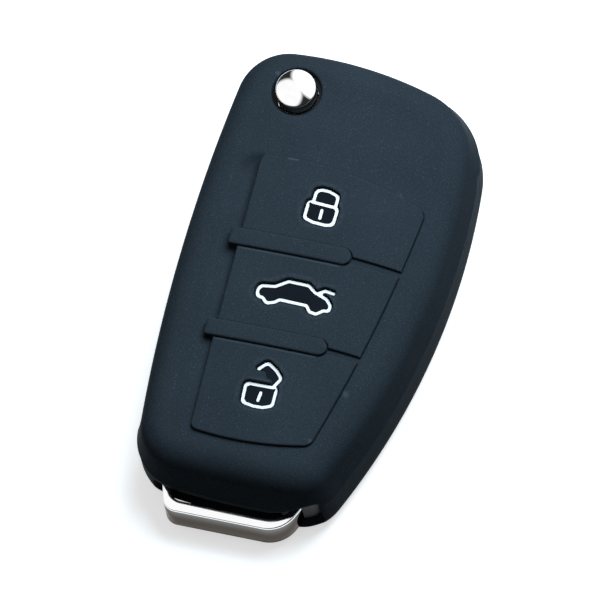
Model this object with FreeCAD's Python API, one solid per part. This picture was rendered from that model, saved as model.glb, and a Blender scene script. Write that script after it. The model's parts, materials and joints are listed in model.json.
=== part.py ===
import FreeCAD, Part
import math
import os

V = FreeCAD.Vector

# All sizes are millimetres unless a name says degrees.
# While modelling, x runs across the cover, y runs from tail to head with zero at the cover's middle,
# and z rises from the back to the button side.

# Cover: overall size and skin
cover_length = 73.4
cover_width = 42.9
cover_thickness = 17.5
cover_wall = 1.5
parting_height = 8.75
front_draft_degrees = 12.0
front_round = 4.5
back_round = 3.5
crown_radius = 160.0

# Cover outline: each side is an arc that touches the overall box at one place
left_arc_radius = 265.0
left_arc_touch = -5.8
top_arc_radius = 64.0
top_arc_touch = -5.8
right_arc_radius = 112.0
right_arc_touch = 12.4
bottom_arc_radius = 120.0
bottom_arc_touch = 0.0
top_left_corner = 9.1
top_right_corner = 12.7
bottom_right_corner = 7.0
bottom_left_corner = 8.5

# Button panel: its box is given by its distances from the cover's box and from the head's split line
panel_from_left = 10.05
panel_below_split = 0.9
panel_from_right = 4.15
panel_from_tail = 6.95
panel_left_radius = 2000.0
panel_left_touch = 20.0
panel_top_radius = 62.0
panel_top_touch = 4.9
panel_right_radius = 236.0
panel_right_touch = -19.8
panel_bottom_radius = 47.5
panel_bottom_touch = 7.9
panel_top_left_corner = 1.3
panel_top_right_corner = 1.9
panel_bottom_right_corner = 2.0
panel_bottom_left_corner = 1.4
pad_rise = 0.6
pad_edge_round = 0.2
window_gap = 0.15

# Finger ridges and the thin webs that carry on from them between the pads
panel_end_room = 1.25
first_row_trim = 0.9
ridge_width = 2.5
ridge_length = 19.35
ridge_overhang = 1.35
ridge_rise = 0.55
ridge_edge_round = 0.3
web_width = 0.7
web_radius = 162.0
web_apex = 9.4

# Trough in the front beside the panel
trough_radius = 5.0
trough_depth = 1.1
trough_offset = 1.6
trough_start = 2.6
trough_length = 46.0
trough_run_on = 7.0
trough_edge_round = 2.0

# Blade release: the button stands on the blade's pivot axis
pivot_from_left = 12.85
pivot_from_head = 8.4
release_hole_diameter = 7.8
dish_diameter = 10.8
dish_depth = 0.5
lip_chamfer = 0.25
release_diameter = 6.3
release_dome = 0.8
release_stand = 1.65
release_flange = 0.25
release_flange_drop = 2.1
release_flange_thickness = 0.8
release_length = 9.85
release_travel = 2.0
release_gap = 0.15

# Key inside the cover
fit_gap = 0.1
case_wall = 1.2
head_length = 18.4
running_gap = 0.05
side_gap = 0.25

# Folding blade and its carrier
blade_width = 7.8
blade_thickness = 2.4
blade_offset = 5.4
blade_reach = 54.5
blade_root = 7.0
blade_tip_chamfer = 2.4
track_width = 2.4
track_depth = 0.55
track_swing = 1.3
track_steps = 7
track_pitch = 4.6
hub_step = 1.8
hub_height = 4.6
arm_reach = 11.5
arm_margin = 0.1
arm_shoulder = 5.5
journal_wall = 0.95
seat_gap = 0.03
pin_diameter = 1.6
channel_gap = 0.3
channel_end_gap = 1.0
cover_slot_margin = 0.3

# Springs
spring_wire = 0.5
release_spring_inset = 0.3
release_spring_turns = 4.25
flip_spring_wire = 0.6
flip_spring_gap = 0.45
flip_spring_turns = 1.75
flip_spring_pitch = 1.05
flip_land = 0.7
spring_gap = 0.08

# Key buttons and switches, placed from the panel's left edge and the line below each row
button_names = ("lock", "boot", "unlock")
button_from_left = (11.4, 10.6, 9.4)
button_above_line = (7.2, 6.8, 6.7)
button_press = 0.6
press_reserve = 0.2
cap_seat_drop = 0.7
cap_height = 2.3
cap_flange = 0.8
cap_flange_thickness = 0.5
pocket_gap = 0.3
ceiling_gap = 0.15
switch_side = 4.5
switch_height = 1.2
switch_edge = 0.3
plunger_diameter = 1.8
plunger_gap = 0.1
plunger_length = 1.15

# Circuit board and what it carries
board_thickness = 0.8
board_gap = 0.4
post_diameter = 2.2
post_from_edges = 3.2
chip_length = 6.0
chip_width = 5.0
chip_height = 1.3
crystal_length = 4.6
crystal_width = 2.0
crystal_height = 1.4
antenna_length = 9.0
antenna_core = 2.2
antenna_winding = 3.0
parts_from_tail = 21.4
parts_gap = 1.2

# Coin cell and its contacts
cell_sizes = (20.0, 16.0, 12.5, 9.5)
cell_thickness = 3.2
cell_cap_inset = 1.3
cell_cap_height = 0.3
cell_edge = 0.4
cell_right_room = 5.8
cell_gap = 0.2
cup_wall = 0.8
cup_height = 1.8
contact_width = 3.6
contact_thickness = 0.3
contact_foot = 3.0

# Head fittings
transponder_sizes = ((11.0, 5.5), (8.0, 4.0), (6.0, 2.5))
transponder_height = 3.0
transponder_gap = 0.8
screw_diameter = 1.8
screw_head_diameter = 3.6
screw_head_height = 1.1
screw_length = 9.5
screw_gap = 0.1
boss_diameter = 4.6
outer_screw_from_right = 7.8
outer_screw_from_head = 11.0
inner_screw_from_pivot = 9.0
inner_screw_from_split = 3.4

# Ring bail at the tail end
bail_reach = 2.9
bail_lean = 0.45
bail_thickness = 1.2
bail_low = 1.8
bail_height = 5.2
bail_from_left = 7.65
bail_from_right = 16.55
bail_left_flare_degrees = 15.0
bail_right_flare_degrees = 24.0
bail_left_corner = 2.3
bail_right_corner = 5.0
bail_anchor = 4.6
bail_edge_round = 0.4
bail_gap = 0.1
bail_slot_left_room = 2.8
bail_slot_right_room = 5.7
bail_slot_gap = 0.2
bail_slot_corner = 1.6
leg_hole_rise = 3.1
leg_hole_width = 2.9
leg_hole_ramp = 5.0
ring_recess = 2.0

# Places worked out from the sizes above
half_width = cover_width / 2
half_length = cover_length / 2
far = 2 * cover_length
lean = math.tan(math.radians(front_draft_degrees))
key_inset = cover_wall + fit_gap
bay_inset = key_inset + case_wall
key_front = cover_thickness - key_inset
bay_floor = bay_inset
head_split = half_length - head_length

panel_left = panel_from_left - half_width
panel_top = head_split - panel_below_split
panel_width = cover_width - panel_from_left - panel_from_right
panel_length = panel_top + half_length - panel_from_tail
button_pitch = (panel_length - panel_end_room) / len(button_names)
row_lines = [panel_top + first_row_trim - (row + 1) * button_pitch for row in range(len(button_names))]
ridge_places = row_lines[:-1]
button_places = [
    V(panel_left + across, line + above, 0)
    for across, line, above in zip(button_from_left, row_lines, button_above_line)
]

pivot = V(pivot_from_left - half_width, half_length - pivot_from_head, 0)
release_radius = release_diameter / 2
bore_radius = release_radius + release_flange + release_gap
journal_radius = bore_radius + journal_wall
hub_radius = journal_radius + hub_step
release_spring_radius = release_radius - release_spring_inset - spring_wire / 2
flip_spring_radius = journal_radius + flip_spring_gap + flip_spring_wire / 2
flip_recess_radius = flip_spring_radius + flip_spring_wire / 2 + flip_spring_gap
hub_low = parting_height - hub_height / 2
hub_high = parting_height + hub_height / 2
channel_low = hub_low - side_gap
channel_high = hub_high + side_gap
blade_inner = blade_offset - blade_width / 2 - arm_margin
blade_outer = blade_offset + blade_width / 2 + arm_margin
channel_wall = pivot.x - blade_inner + channel_gap
slot_right = pivot.x + blade_outer + channel_gap
bay_left = channel_wall + case_wall
head_bay_left = slot_right + case_wall

cap_seat = key_front - cap_seat_drop
cap_low = cap_seat - cap_height
bay_top = cap_low + cap_flange_thickness + ceiling_gap
switch_top = cap_low - button_press - press_reserve
board_top = switch_top - switch_height
board_low = board_top - board_thickness
bay_tail = bail_anchor + case_wall - half_length + key_inset

release_top = cover_thickness + release_stand
release_flange_top = key_front - release_flange_drop
release_low = release_top - release_length
carrier_top = release_flange_top + side_gap
carrier_low = bay_floor + side_gap
spring_packed = (release_spring_turns + 1) * spring_wire
spring_seat = release_low - release_travel - spring_packed
flip_recess_floor = bay_floor + flip_land

tail_end = -half_length
bail_left = bail_from_left - half_width
bail_right = half_width - bail_from_right
bail_end = tail_end + key_inset + bail_anchor
post_line = head_split - case_wall - post_from_edges
parts_line = tail_end + parts_from_tail
cup_tail = parts_line + chip_width / 2 + parts_gap
cup_right = half_width - cell_right_room
cup_room = min(cup_right - bay_left, post_line - post_diameter / 2 - cup_tail)
cell_diameter = max(size for size in cell_sizes if size + 2 * (cell_gap + cup_wall) <= cup_room)
cup_radius = cell_diameter / 2 + cell_gap
cell_centre = V(cup_right - cup_radius - cup_wall, cup_tail + cup_radius + cup_wall, 0)


def block(x=(-far, far), y=(-far, far), z=(-far, far)):
    """A box given by its limits; a limit left out lies well outside the part."""
    corner = V(x[0], y[0], z[0])
    return Part.makeBox(x[1] - x[0], y[1] - y[0], z[1] - z[0], corner)


def upright(radius, low, high, place):
    """A cylinder along z between two heights."""
    return Part.makeCylinder(radius, high - low, V(place.x, place.y, low))


def prism(wire, low, high):
    """A flat wire at z zero, filled and raised between two heights."""
    solid = Part.Face(wire).extrude(V(0, 0, high - low))
    solid.translate(V(0, 0, low))
    return solid


def joined(first, *others):
    """One clean solid out of several that touch."""
    return first.fuse(list(others)).removeSplitter()


def unit(vector):
    return V(vector).normalize()


def edges_along(box, axis):
    """A block's edges that run along one axis."""
    return [edge for edge in box.Edges if round(abs(edge.Curve.Direction.dot(axis))) == 1]


def round_top(solid, radius):
    """A solid with the edges of its top face rounded."""
    top = max(solid.Faces, key=lambda face: face.CenterOfMass.z)
    return solid.makeFillet(radius, top.Edges)


def faces_of_radius(solid, radius):
    """A solid's round faces of one radius."""
    return [face for face in solid.Faces if abs(getattr(face.Surface, "Radius", 0) - radius) < seat_gap]


def rim_of(faces):
    """The edges round a group of faces: those that only one of them has."""
    edges = [edge for face in faces for edge in face.Edges if not edge.Degenerated]
    return [edge for edge in edges if sum(edge.isSame(other) for other in edges) == 1]


def four_arc_wire(sides, corners, inset):
    """A closed outline of four side arcs and four tangent corner arcs.

    sides lists (centre, radius) for left, top, right and bottom; corners lists the radius after each side.
    The inset moves every arc inward along its radius, so all outlines of one kind stay parallel.
    """
    outward = (V(-1, 0, 0), V(0, 1, 0), V(1, 0, 0), V(0, -1, 0))
    hubs = []
    for index, corner in enumerate(corners):
        after = (index + 1) % len(sides)
        (centre, radius), (next_centre, next_radius) = sides[index], sides[after]
        reach = radius - corner
        next_reach = next_radius - corner
        span = next_centre.sub(centre)
        along = (reach ** 2 - next_reach ** 2 + span.Length ** 2) / (2 * span.Length)
        aside = math.sqrt(reach ** 2 - along ** 2)
        forward = unit(span)
        sideways = V(-forward.y, forward.x, 0)
        base = centre + forward * along
        looking = outward[index] + outward[after]
        hubs.append(max(base + sideways * aside, base - sideways * aside, key=looking.dot))
    edges = []
    for index, (centre, radius) in enumerate(sides):
        after = (index + 1) % len(sides)
        hub = hubs[index]
        start = unit(hubs[index - 1] - centre)
        end = unit(hub - centre)
        turn = unit(hub - sides[after][0])
        arc = [centre + way * (radius - inset) for way in (start, unit(start + end), end)]
        bend = [hub + way * (corners[index] - inset) for way in (end, unit(end + turn), turn)]
        edges.append(Part.Arc(*arc).toShape())
        edges.append(Part.Arc(*bend).toShape())
    return Part.Wire(edges)


def cover_wire(inset):
    """The cover's plan outline, moved inward by the inset."""
    sides = [
        (V(left_arc_radius - half_width, left_arc_touch, 0), left_arc_radius),
        (V(top_arc_touch, half_length - top_arc_radius, 0), top_arc_radius),
        (V(half_width - right_arc_radius, right_arc_touch, 0), right_arc_radius),
        (V(bottom_arc_touch, bottom_arc_radius - half_length, 0), bottom_arc_radius),
    ]
    corners = [top_left_corner, top_right_corner, bottom_right_corner, bottom_left_corner]
    return four_arc_wire(sides, corners, inset)


def panel_wire(inset):
    """The button panel's plan outline, moved inward by the inset."""
    right_edge = panel_left + panel_width
    low_edge = panel_top - panel_length
    sides = [
        (V(panel_left + panel_left_radius, panel_top - panel_left_touch, 0), panel_left_radius),
        (V(panel_left + panel_top_touch, panel_top - panel_top_radius, 0), panel_top_radius),
        (V(right_edge - panel_right_radius, panel_top - panel_right_touch, 0), panel_right_radius),
        (V(panel_left + panel_bottom_touch, low_edge + panel_bottom_radius, 0), panel_bottom_radius),
    ]
    corners = [
        panel_top_left_corner,
        panel_top_right_corner,
        panel_bottom_right_corner,
        panel_bottom_left_corner,
    ]
    return four_arc_wire(sides, corners, inset)


def crown(rise):
    """Everything under the crowned front, raised or lowered by the rise."""
    axis_start = V(0, -far, cover_thickness - crown_radius)
    return Part.makeCylinder(crown_radius + rise, 2 * far, axis_start, V(0, 1, 0))


def skin_height(across):
    """Height of the crowned front at a place across the cover."""
    return cover_thickness - crown_radius + math.sqrt(crown_radius ** 2 - across ** 2)


def pebble(inset):
    """The rounded body form: straight back half, drafted front half, crowned front, rounded edges."""
    low = inset
    high = cover_thickness - inset
    rise = high - parting_height + fit_gap
    top_wire = cover_wire(inset + rise * lean)
    top_wire.translate(V(0, 0, parting_height + rise))
    middle_wire = cover_wire(inset)
    middle_wire.translate(V(0, 0, parting_height))
    front_half = Part.makeLoft([middle_wire, top_wire], True, True)
    body = joined(prism(cover_wire(inset), low, parting_height), front_half).common(crown(-inset))
    crown_face = max(body.Faces, key=lambda face: face.CenterOfMass.z)
    body = body.makeFillet(front_round - inset, crown_face.Edges)
    back_face = min(body.Faces, key=lambda face: face.CenterOfMass.z)
    return body.makeFillet(back_round - inset, back_face.Edges).Solids[0]


def trough_tool(inset):
    """The long shallow hollow beside the panel, deepest at its head end and fading out at its tail end."""
    across = panel_left - trough_offset
    start = V(across, panel_top - trough_start, skin_height(across) + trough_radius - trough_depth)
    way = V(0, -trough_length, trough_depth)
    runner = Part.makeCylinder(trough_radius + inset, way.Length + trough_run_on, start, way)
    return joined(runner, Part.makeSphere(trough_radius + inset, start))


def ridge(row, grow, low, high):
    """A finger ridge: square left end, full round right end."""
    middle = ridge_places[row]
    reach = ridge_width / 2 + grow
    left = panel_left - ridge_overhang
    tip = V(left + ridge_length - ridge_width / 2, middle, 0)
    bar = block((left - grow, tip.x), (middle - reach, middle + reach), (low, high))
    return joined(bar, upright(reach, low, high, tip))


def web(row, grow, low, high):
    """The thin curved strip between two pads, carrying on from a ridge."""
    reach = web_width / 2 + grow
    centre = V(panel_left + web_apex, ridge_places[row] - web_radius, 0)
    ring = upright(web_radius + reach, low, high, centre)
    ring = ring.cut(upright(web_radius - reach, low, high, centre))
    return ring.common(block(y=(ridge_places[row] - button_pitch / 2, far)))


def panel_cells(inset, grow, low, high):
    """The panel cut into one cell per button, head end first."""
    cells = prism(panel_wire(inset), low, high)
    for row in range(len(ridge_places)):
        cells = cells.cut(ridge(row, grow, low, high)).cut(web(row, grow, low, high))
    return sorted(cells.Solids, key=lambda cell: -cell.CenterOfMass.y)


def blade_channel(margin):
    """The open space that the folded blade lies in and swings out of, on the left and at the head."""
    height = (channel_low - margin, channel_high + margin)
    tail = pivot.y - blade_reach - channel_end_gap - margin
    side = block((-far, channel_wall + margin), (tail, pivot.y), height)
    head = block((-far, slot_right + margin), (pivot.y, far), height)
    return joined(side, head, upright(hub_radius + channel_gap, *height, pivot))


def bail_wire(reach):
    """The bail's strip in plan: a bar with two flared legs that run into the remote.

    The legs lie on the same lines whatever the reach, so only the bar moves in or out.
    """
    flares = [math.radians(bail_left_flare_degrees), math.radians(bail_right_flare_degrees)]
    spreads = [math.tan(flare) for flare in flares]
    drawn_in = bail_reach - reach
    rise = bail_reach + key_inset + bail_anchor
    outer = [
        V(bail_left - rise * spreads[0], bail_end, 0),
        V(bail_left - drawn_in * spreads[0], tail_end - reach, 0),
        V(bail_right + drawn_in * spreads[1], tail_end - reach, 0),
        V(bail_right + rise * spreads[1], bail_end, 0),
    ]
    edges = []
    start = outer[0]
    bends = zip(outer, outer[1:], outer[2:], (bail_left_corner, bail_right_corner), flares)
    for before, corner, after, radius, flare in bends:
        turn = (math.pi / 2 - flare) / 2
        back = unit(before - corner)
        ahead = unit(after - corner)
        set_off = radius * math.tan(turn)
        entry = corner + back * set_off
        leave = corner + ahead * set_off
        hub = corner + unit(back + ahead) * (radius / math.cos(turn))
        middle = hub + unit(corner - hub) * radius
        edges.append(Part.makeLine(start, entry))
        edges.append(Part.Arc(entry, middle, leave).toShape())
        start = leave
    edges.append(Part.makeLine(start, outer[-1]))
    outer_wire = Part.Wire(edges)
    inner_wire = outer_wire.makeOffset2D(bail_thickness, 0, False, True)
    if inner_wire.BoundBox.YMin < outer_wire.BoundBox.YMin:
        inner_wire = outer_wire.makeOffset2D(-bail_thickness, 0, False, True)
    inner_ends = [inner_wire.Vertexes[0].Point, inner_wire.Vertexes[-1].Point]
    inner_ends.sort(key=lambda end: end.x)
    caps = [Part.makeLine(outer[0], inner_ends[0]), Part.makeLine(inner_ends[1], outer[-1])]
    return Part.Wire(Part.__sortEdges__(outer_wire.Edges + inner_wire.Edges + caps))


def biarc(start, start_way, end, end_way):
    """Two tangent arcs that join two points with given directions."""
    span = end - start
    ways = start_way + end_way
    spread = 2 * (1 - start_way.dot(end_way))
    reach = (math.sqrt(span.dot(ways) ** 2 + spread * span.dot(span)) - span.dot(ways)) / spread
    first = start + start_way * reach
    second = end - end_way * reach
    meeting = (first + second) * 0.5
    arcs = []
    for begin, control, finish in ((start, first, meeting), (meeting, second, end)):
        middle = (begin + finish) * 0.5
        half_chord = (finish - begin).Length / 2
        angle = (control - begin).getAngle(finish - begin)
        peak = middle + unit(control - middle) * (half_chord * math.tan(angle / 2))
        arcs.append(Part.Arc(begin, peak, finish).toShape())
    return arcs


def coil(place, radius, wire, pitch, turns, low):
    """A coil spring's wire on the z axis through a place, its underside at the low height."""
    quarter = math.pi / 2
    whole = 4 * quarter
    climb = pitch / whole
    stations = []
    for step in range(round(turns * whole / quarter) + 1):
        angle = step * quarter
        point = V(radius * math.cos(angle), radius * math.sin(angle), climb * angle)
        way = unit(V(-radius * math.sin(angle), radius * math.cos(angle), climb))
        stations.append((point + V(place.x, place.y, low + wire / 2), way))
    edges = []
    for (start, start_way), (end, end_way) in zip(stations, stations[1:]):
        edges += biarc(start, start_way, end, end_way)
    section = Part.Wire(Part.makeCircle(wire / 2, *stations[0]))
    return Part.Wire(edges).makePipeShell([section], True, False)


def make_front_skin():
    """The cover's outside: the pebble with the trough sunk into it, its rim rounded, and the ridges."""
    skin = pebble(0).cut(trough_tool(0)).Solids[0]
    skin = skin.makeFillet(trough_edge_round, rim_of(faces_of_radius(skin, trough_radius)))
    ridge_top = crown(pad_rise + ridge_rise)
    ridges = [
        round_top(ridge(row, 0, parting_height, far).common(ridge_top), ridge_edge_round)
        for row in range(len(ridge_places))
    ]
    return joined(skin, *ridges)


def sink_release_hole(shell):
    """The hole for the release button, in the middle of a shallow dish, with a chamfered lip."""
    hole_radius = release_hole_diameter / 2
    dish_radius = ((dish_diameter / 2) ** 2 + dish_depth ** 2) / (2 * dish_depth)
    dish_height = skin_height(pivot.x) - dish_depth + dish_radius
    lip_low = dish_height - math.sqrt(dish_radius ** 2 - hole_radius ** 2) - lip_chamfer
    lip = Part.makeCone(
        hole_radius, hole_radius + 2 * lip_chamfer, 2 * lip_chamfer, V(pivot.x, pivot.y, lip_low)
    )
    shell = shell.cut(upright(hole_radius, parting_height, far, pivot))
    shell = shell.cut(Part.makeSphere(dish_radius, V(pivot.x, pivot.y, dish_height)))
    return shell.cut(lip)


def bail_slot():
    """The rounded opening for the bail, with a higher hole where the right leg runs in."""
    left = bail_left - bail_slot_left_room
    right = bail_right + bail_slot_right_room
    low = bail_low - bail_slot_gap
    high = bail_low + bail_height + bail_slot_gap
    flat = right - leg_hole_width
    profile = [
        V(left, bay_tail, low),
        V(right, bay_tail, low),
        V(right, bay_tail, high + leg_hole_rise),
        V(flat, bay_tail, high + leg_hole_rise),
        V(flat - leg_hole_ramp, bay_tail, high),
        V(left, bay_tail, high),
    ]
    slot = Part.Face(Part.makePolygon(profile + profile[:1])).extrude(V(0, -far, 0))
    return slot.makeFillet(bail_slot_corner, edges_along(slot, V(0, 1, 0)))


def make_cover():
    """The moulded skin with its ridges, windows, release hole, blade slot and bail slot."""
    shell = make_front_skin().cut(pebble(cover_wall).cut(trough_tool(cover_wall)))
    shell = sink_release_hole(shell)
    for window in panel_cells(0, 0, parting_height, far):
        shell = shell.cut(window)
    shell = shell.cut(blade_channel(cover_slot_margin)).cut(bail_slot())
    return shell.removeSplitter().Solids[0]


def make_pads():
    """The three raised press areas, each a block that stands on a key cap."""
    cells = panel_cells(window_gap, window_gap, cap_seat, far)
    return [round_top(cell.common(crown(pad_rise)), pad_edge_round) for cell in cells]


def make_caps():
    """The key's own buttons: plungers with a flange that keeps them behind the case front."""
    flange_top = cap_low + cap_flange_thickness
    bodies = panel_cells(window_gap, window_gap, cap_low, cap_seat)
    flanges = panel_cells(-cap_flange, window_gap, cap_low, flange_top)
    return [joined(body, flange) for body, flange in zip(bodies, flanges)]


def screw_places():
    """The two case screws in the head."""
    outer = V(half_width - outer_screw_from_right, half_length - outer_screw_from_head, 0)
    inner = V(pivot.x + inner_screw_from_pivot, head_split + inner_screw_from_split, 0)
    return [inner, outer]


def screw(place, gap):
    """A pan screw from the back; the gap gives the hole it sits in."""
    seat = key_inset + screw_head_height + fit_gap
    low = key_inset + fit_gap
    start = -far if gap else low
    head = upright(screw_head_diameter / 2 + gap, start, seat, place)
    return joined(head, upright(screw_diameter / 2 + gap / 2, seat, low + screw_length + gap, place))


def head_bay():
    """The open space in the head beside the blade slot, round the screw bosses."""
    bay = pebble(bay_inset).common(
        block(x=(head_bay_left, far), y=(head_split + case_wall, far), z=(-far, bay_top))
    )
    for place in screw_places():
        bay = bay.cut(upright(boss_diameter / 2, -far, far, place))
    return bay


def make_head(key):
    """Front and rear halves of the head, with the hub's bearings and the screw bosses."""
    journal = journal_radius + running_gap
    head = key.common(block(y=(head_split, far))).cut(head_bay()).cut(blade_channel(0))
    for place in screw_places():
        head = head.cut(screw(place, screw_gap))
    front = head.common(block(z=(parting_height, far)))
    front = front.cut(upright(journal, parting_height, carrier_top + side_gap, pivot))
    front = front.cut(upright(release_radius + release_gap, parting_height, far, pivot))
    rear = head.common(block(z=(-far, parting_height)))
    rear = rear.cut(upright(journal, bay_floor, parting_height, pivot))
    rear = rear.cut(upright(flip_recess_radius, flip_recess_floor, parting_height, pivot))
    return front.removeSplitter(), rear.removeSplitter()


def post_places():
    """The board's three posts, near its corners and clear of the coin cell."""
    left_line = bay_left + post_from_edges
    return [
        V(left_line, post_line, 0),
        V(cup_right - 2 * post_from_edges, post_line, 0),
        V(left_line, bay_tail + post_from_edges, 0),
    ]


def make_remote(key):
    """Front and rear halves of the remote, with button windows, board posts, cell cup and bail sockets."""
    bay = pebble(bay_inset).common(
        block(x=(bay_left, far), y=(bay_tail, head_split - case_wall), z=(-far, bay_top))
    )
    remote = key.common(block(y=(-far, head_split))).cut(bay).cut(blade_channel(0))
    socket = Part.Face(bail_wire(bail_reach)).makeOffset2D(bail_gap)
    socket_solid = socket.extrude(V(0, 0, bail_height + 2 * bail_gap))
    socket_solid.translate(V(0, 0, bail_low - bail_gap))
    notch = block(
        (bail_left + bail_thickness, bail_right - bail_thickness),
        (-far, tail_end + key_inset + ring_recess),
        (-far, bail_low + bail_height + bail_slot_gap),
    )
    remote = remote.cut(socket_solid).cut(notch)
    front = remote.common(block(z=(parting_height, far)))
    pocket = prism(panel_wire(-cap_flange - pocket_gap), cap_low - button_press - press_reserve, bay_top)
    front = front.cut(pocket)
    for window in panel_cells(0, 0, parting_height, far):
        front = front.cut(window)
    rear = remote.common(block(z=(-far, parting_height)))
    cup = upright(cup_radius + cup_wall, bay_floor, bay_floor + cup_height, cell_centre)
    cup = cup.cut(upright(cup_radius, bay_floor, bay_floor + cup_height, cell_centre))
    contact_room = (cell_centre.y - contact_width, cell_centre.y + contact_width)
    cup = cup.cut(block(x=(cell_centre.x, far), y=contact_room))
    posts = [upright(post_diameter / 2, bay_floor, board_low, place) for place in post_places()]
    rear = joined(rear, *cup.Solids, *posts)
    return front.removeSplitter(), rear


def make_release_button():
    """The domed chrome button: a stem with a flange that keeps it behind the case front."""
    dome_radius = (release_radius ** 2 + release_dome ** 2) / (2 * release_dome)
    dome = Part.makeSphere(dome_radius, V(pivot.x, pivot.y, release_top - dome_radius))
    flange_low = release_flange_top - release_flange_thickness
    flange = upright(release_radius + release_flange, flange_low, release_flange_top, pivot)
    return joined(upright(release_radius, release_low, release_top, pivot).common(dome), flange)


def pivot_point(across, along, height=0.0):
    """A place given from the pivot axis."""
    return V(pivot.x + across, pivot.y + along, height)


def pin_place():
    return pivot_point(-blade_offset, -arm_reach + blade_root / 2)


def blade_plan(grow):
    """The folded blade in plan, with its chamfered tip."""
    inner = -blade_offset + blade_width / 2 + grow
    outer = -blade_offset - blade_width / 2 - grow
    root = -arm_reach + blade_root + grow
    points = [
        pivot_point(inner, root),
        pivot_point(outer, root),
        pivot_point(outer, -blade_reach + blade_tip_chamfer),
        pivot_point(outer + blade_tip_chamfer, -blade_reach),
        pivot_point(inner - blade_tip_chamfer, -blade_reach),
        pivot_point(inner, -blade_reach + blade_tip_chamfer),
    ]
    return Part.makePolygon(points + points[:1])


def make_blade():
    """The key blade with a milled track winding along both faces."""
    low = parting_height - blade_thickness / 2
    high = parting_height + blade_thickness / 2
    blade = prism(blade_plan(0), low, high)
    stations = [
        pivot_point(
            -blade_offset + track_swing * (-1) ** step,
            -blade_reach - track_width + track_pitch * step,
        )
        for step in range(track_steps + 1)
    ]
    track = Part.makePolygon(stations).makeOffset2D(track_width / 2, 0, False, False)
    for floor in (low, high - track_depth):
        blade = blade.cut(prism(track, floor, floor + track_depth))
    return blade.cut(upright(pin_diameter / 2 + seat_gap, low, high, pin_place()))


def make_carrier():
    """The hub that turns in the case, with the arm that holds the blade's root."""
    hub = upright(hub_radius, hub_low, hub_high, pivot)
    journals = upright(journal_radius, carrier_low, carrier_top, pivot)
    arm_points = [
        pivot_point(-blade_inner, -arm_reach),
        pivot_point(-blade_inner, 0),
        pivot_point(-hub_radius, 0),
        pivot_point(-blade_outer, -arm_shoulder),
        pivot_point(-blade_outer, -arm_reach),
    ]
    arm = prism(Part.makePolygon(arm_points + arm_points[:1]), hub_low, hub_high)
    carrier = joined(hub, journals, arm)
    carrier = carrier.cut(upright(bore_radius, spring_seat, carrier_top, pivot))
    slot_reach = blade_thickness / 2 + seat_gap
    slot = prism(blade_plan(seat_gap), parting_height - slot_reach, parting_height + slot_reach)
    carrier = carrier.cut(slot)
    return carrier.cut(upright(pin_diameter / 2 + seat_gap, hub_low, hub_high, pin_place()))


def make_springs():
    """The release button's compression spring and the blade's torsion spring."""
    room = release_low - spring_seat - spring_wire - 2 * spring_gap
    release = coil(
        pivot, release_spring_radius, spring_wire, room / release_spring_turns, release_spring_turns,
        spring_seat + spring_gap,
    )
    flip = coil(
        pivot, flip_spring_radius, flip_spring_wire, flip_spring_pitch, flip_spring_turns,
        flip_recess_floor + spring_gap,
    )
    return release, flip


def make_bail():
    """The chrome bail: a bent strip whose outer face leans out towards the back."""
    back = bail_wire(bail_reach)
    back.translate(V(0, 0, bail_low))
    front = bail_wire(bail_reach - bail_lean)
    front.translate(V(0, 0, bail_low + bail_height))
    bail = Part.makeLoft([back, front], True, True)
    flat_edges = [edge for edge in bail.Edges if edge.BoundBox.ZLength < bail_gap]
    rims = [edge for edge in flat_edges if edge.CenterOfMass.y < bail_end - bail_thickness]
    return bail.makeFillet(bail_edge_round, rims)


def make_switch(place):
    """A tact switch body with the well its plunger moves in."""
    half = switch_side / 2
    across = (place.x - half, place.x + half)
    along = (place.y - half, place.y + half)
    body = block(across, along, (board_top, switch_top))
    top = max(body.Faces, key=lambda face: face.CenterOfMass.z)
    body = body.makeChamfer(switch_edge, top.Edges)
    return body.cut(upright(plunger_diameter / 2 + plunger_gap, board_top + ceiling_gap, switch_top, place))


def make_board():
    """The circuit board: the bay's outline less a gap, with a straight edge beside the blade channel."""
    inset = bay_inset + (board_top - parting_height) * lean + board_gap
    sheet = prism(cover_wire(inset), board_low, board_top)
    return sheet.common(
        block(x=(bay_left + board_gap, far), y=(bay_tail + board_gap, head_split - case_wall - board_gap))
    ).Solids[0]


def make_board_parts():
    """The controller, the crystal can and the antenna coil under the board's tail end."""
    parts_left = bay_left + parts_gap
    chip_place = V(parts_left + chip_length / 2, parts_line, 0)
    crystal_place = chip_place + V((chip_length + crystal_length) / 2 + parts_gap, 0, 0)
    antenna_drop = (chip_width + antenna_winding) / 2 + parts_gap
    antenna_place = V(parts_left + antenna_length / 2, parts_line - antenna_drop, 0)

    def hung(place, length, width, height):
        return block(
            (place.x - length / 2, place.x + length / 2),
            (place.y - width / 2, place.y + width / 2),
            (board_low - height, board_low),
        )

    chip = hung(chip_place, chip_length, chip_width, chip_height)
    chip = chip.makeChamfer(switch_edge, min(chip.Faces, key=lambda face: face.CenterOfMass.z).Edges)
    crystal = hung(crystal_place, crystal_length, crystal_width, crystal_height)
    crystal = crystal.makeFillet(crystal_width / 2 - seat_gap, edges_along(crystal, V(0, 0, 1)))
    middle = board_low - antenna_winding / 2
    start = antenna_place + V(-antenna_length / 2, 0, middle)
    core = Part.makeCylinder(antenna_core / 2, antenna_length, start, V(1, 0, 0))
    wound = antenna_length - 2 * antenna_core
    winding = Part.makeCylinder(antenna_winding / 2, wound, start + V(antenna_core, 0, 0), V(1, 0, 0))
    return chip, crystal, joined(core, winding)


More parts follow.
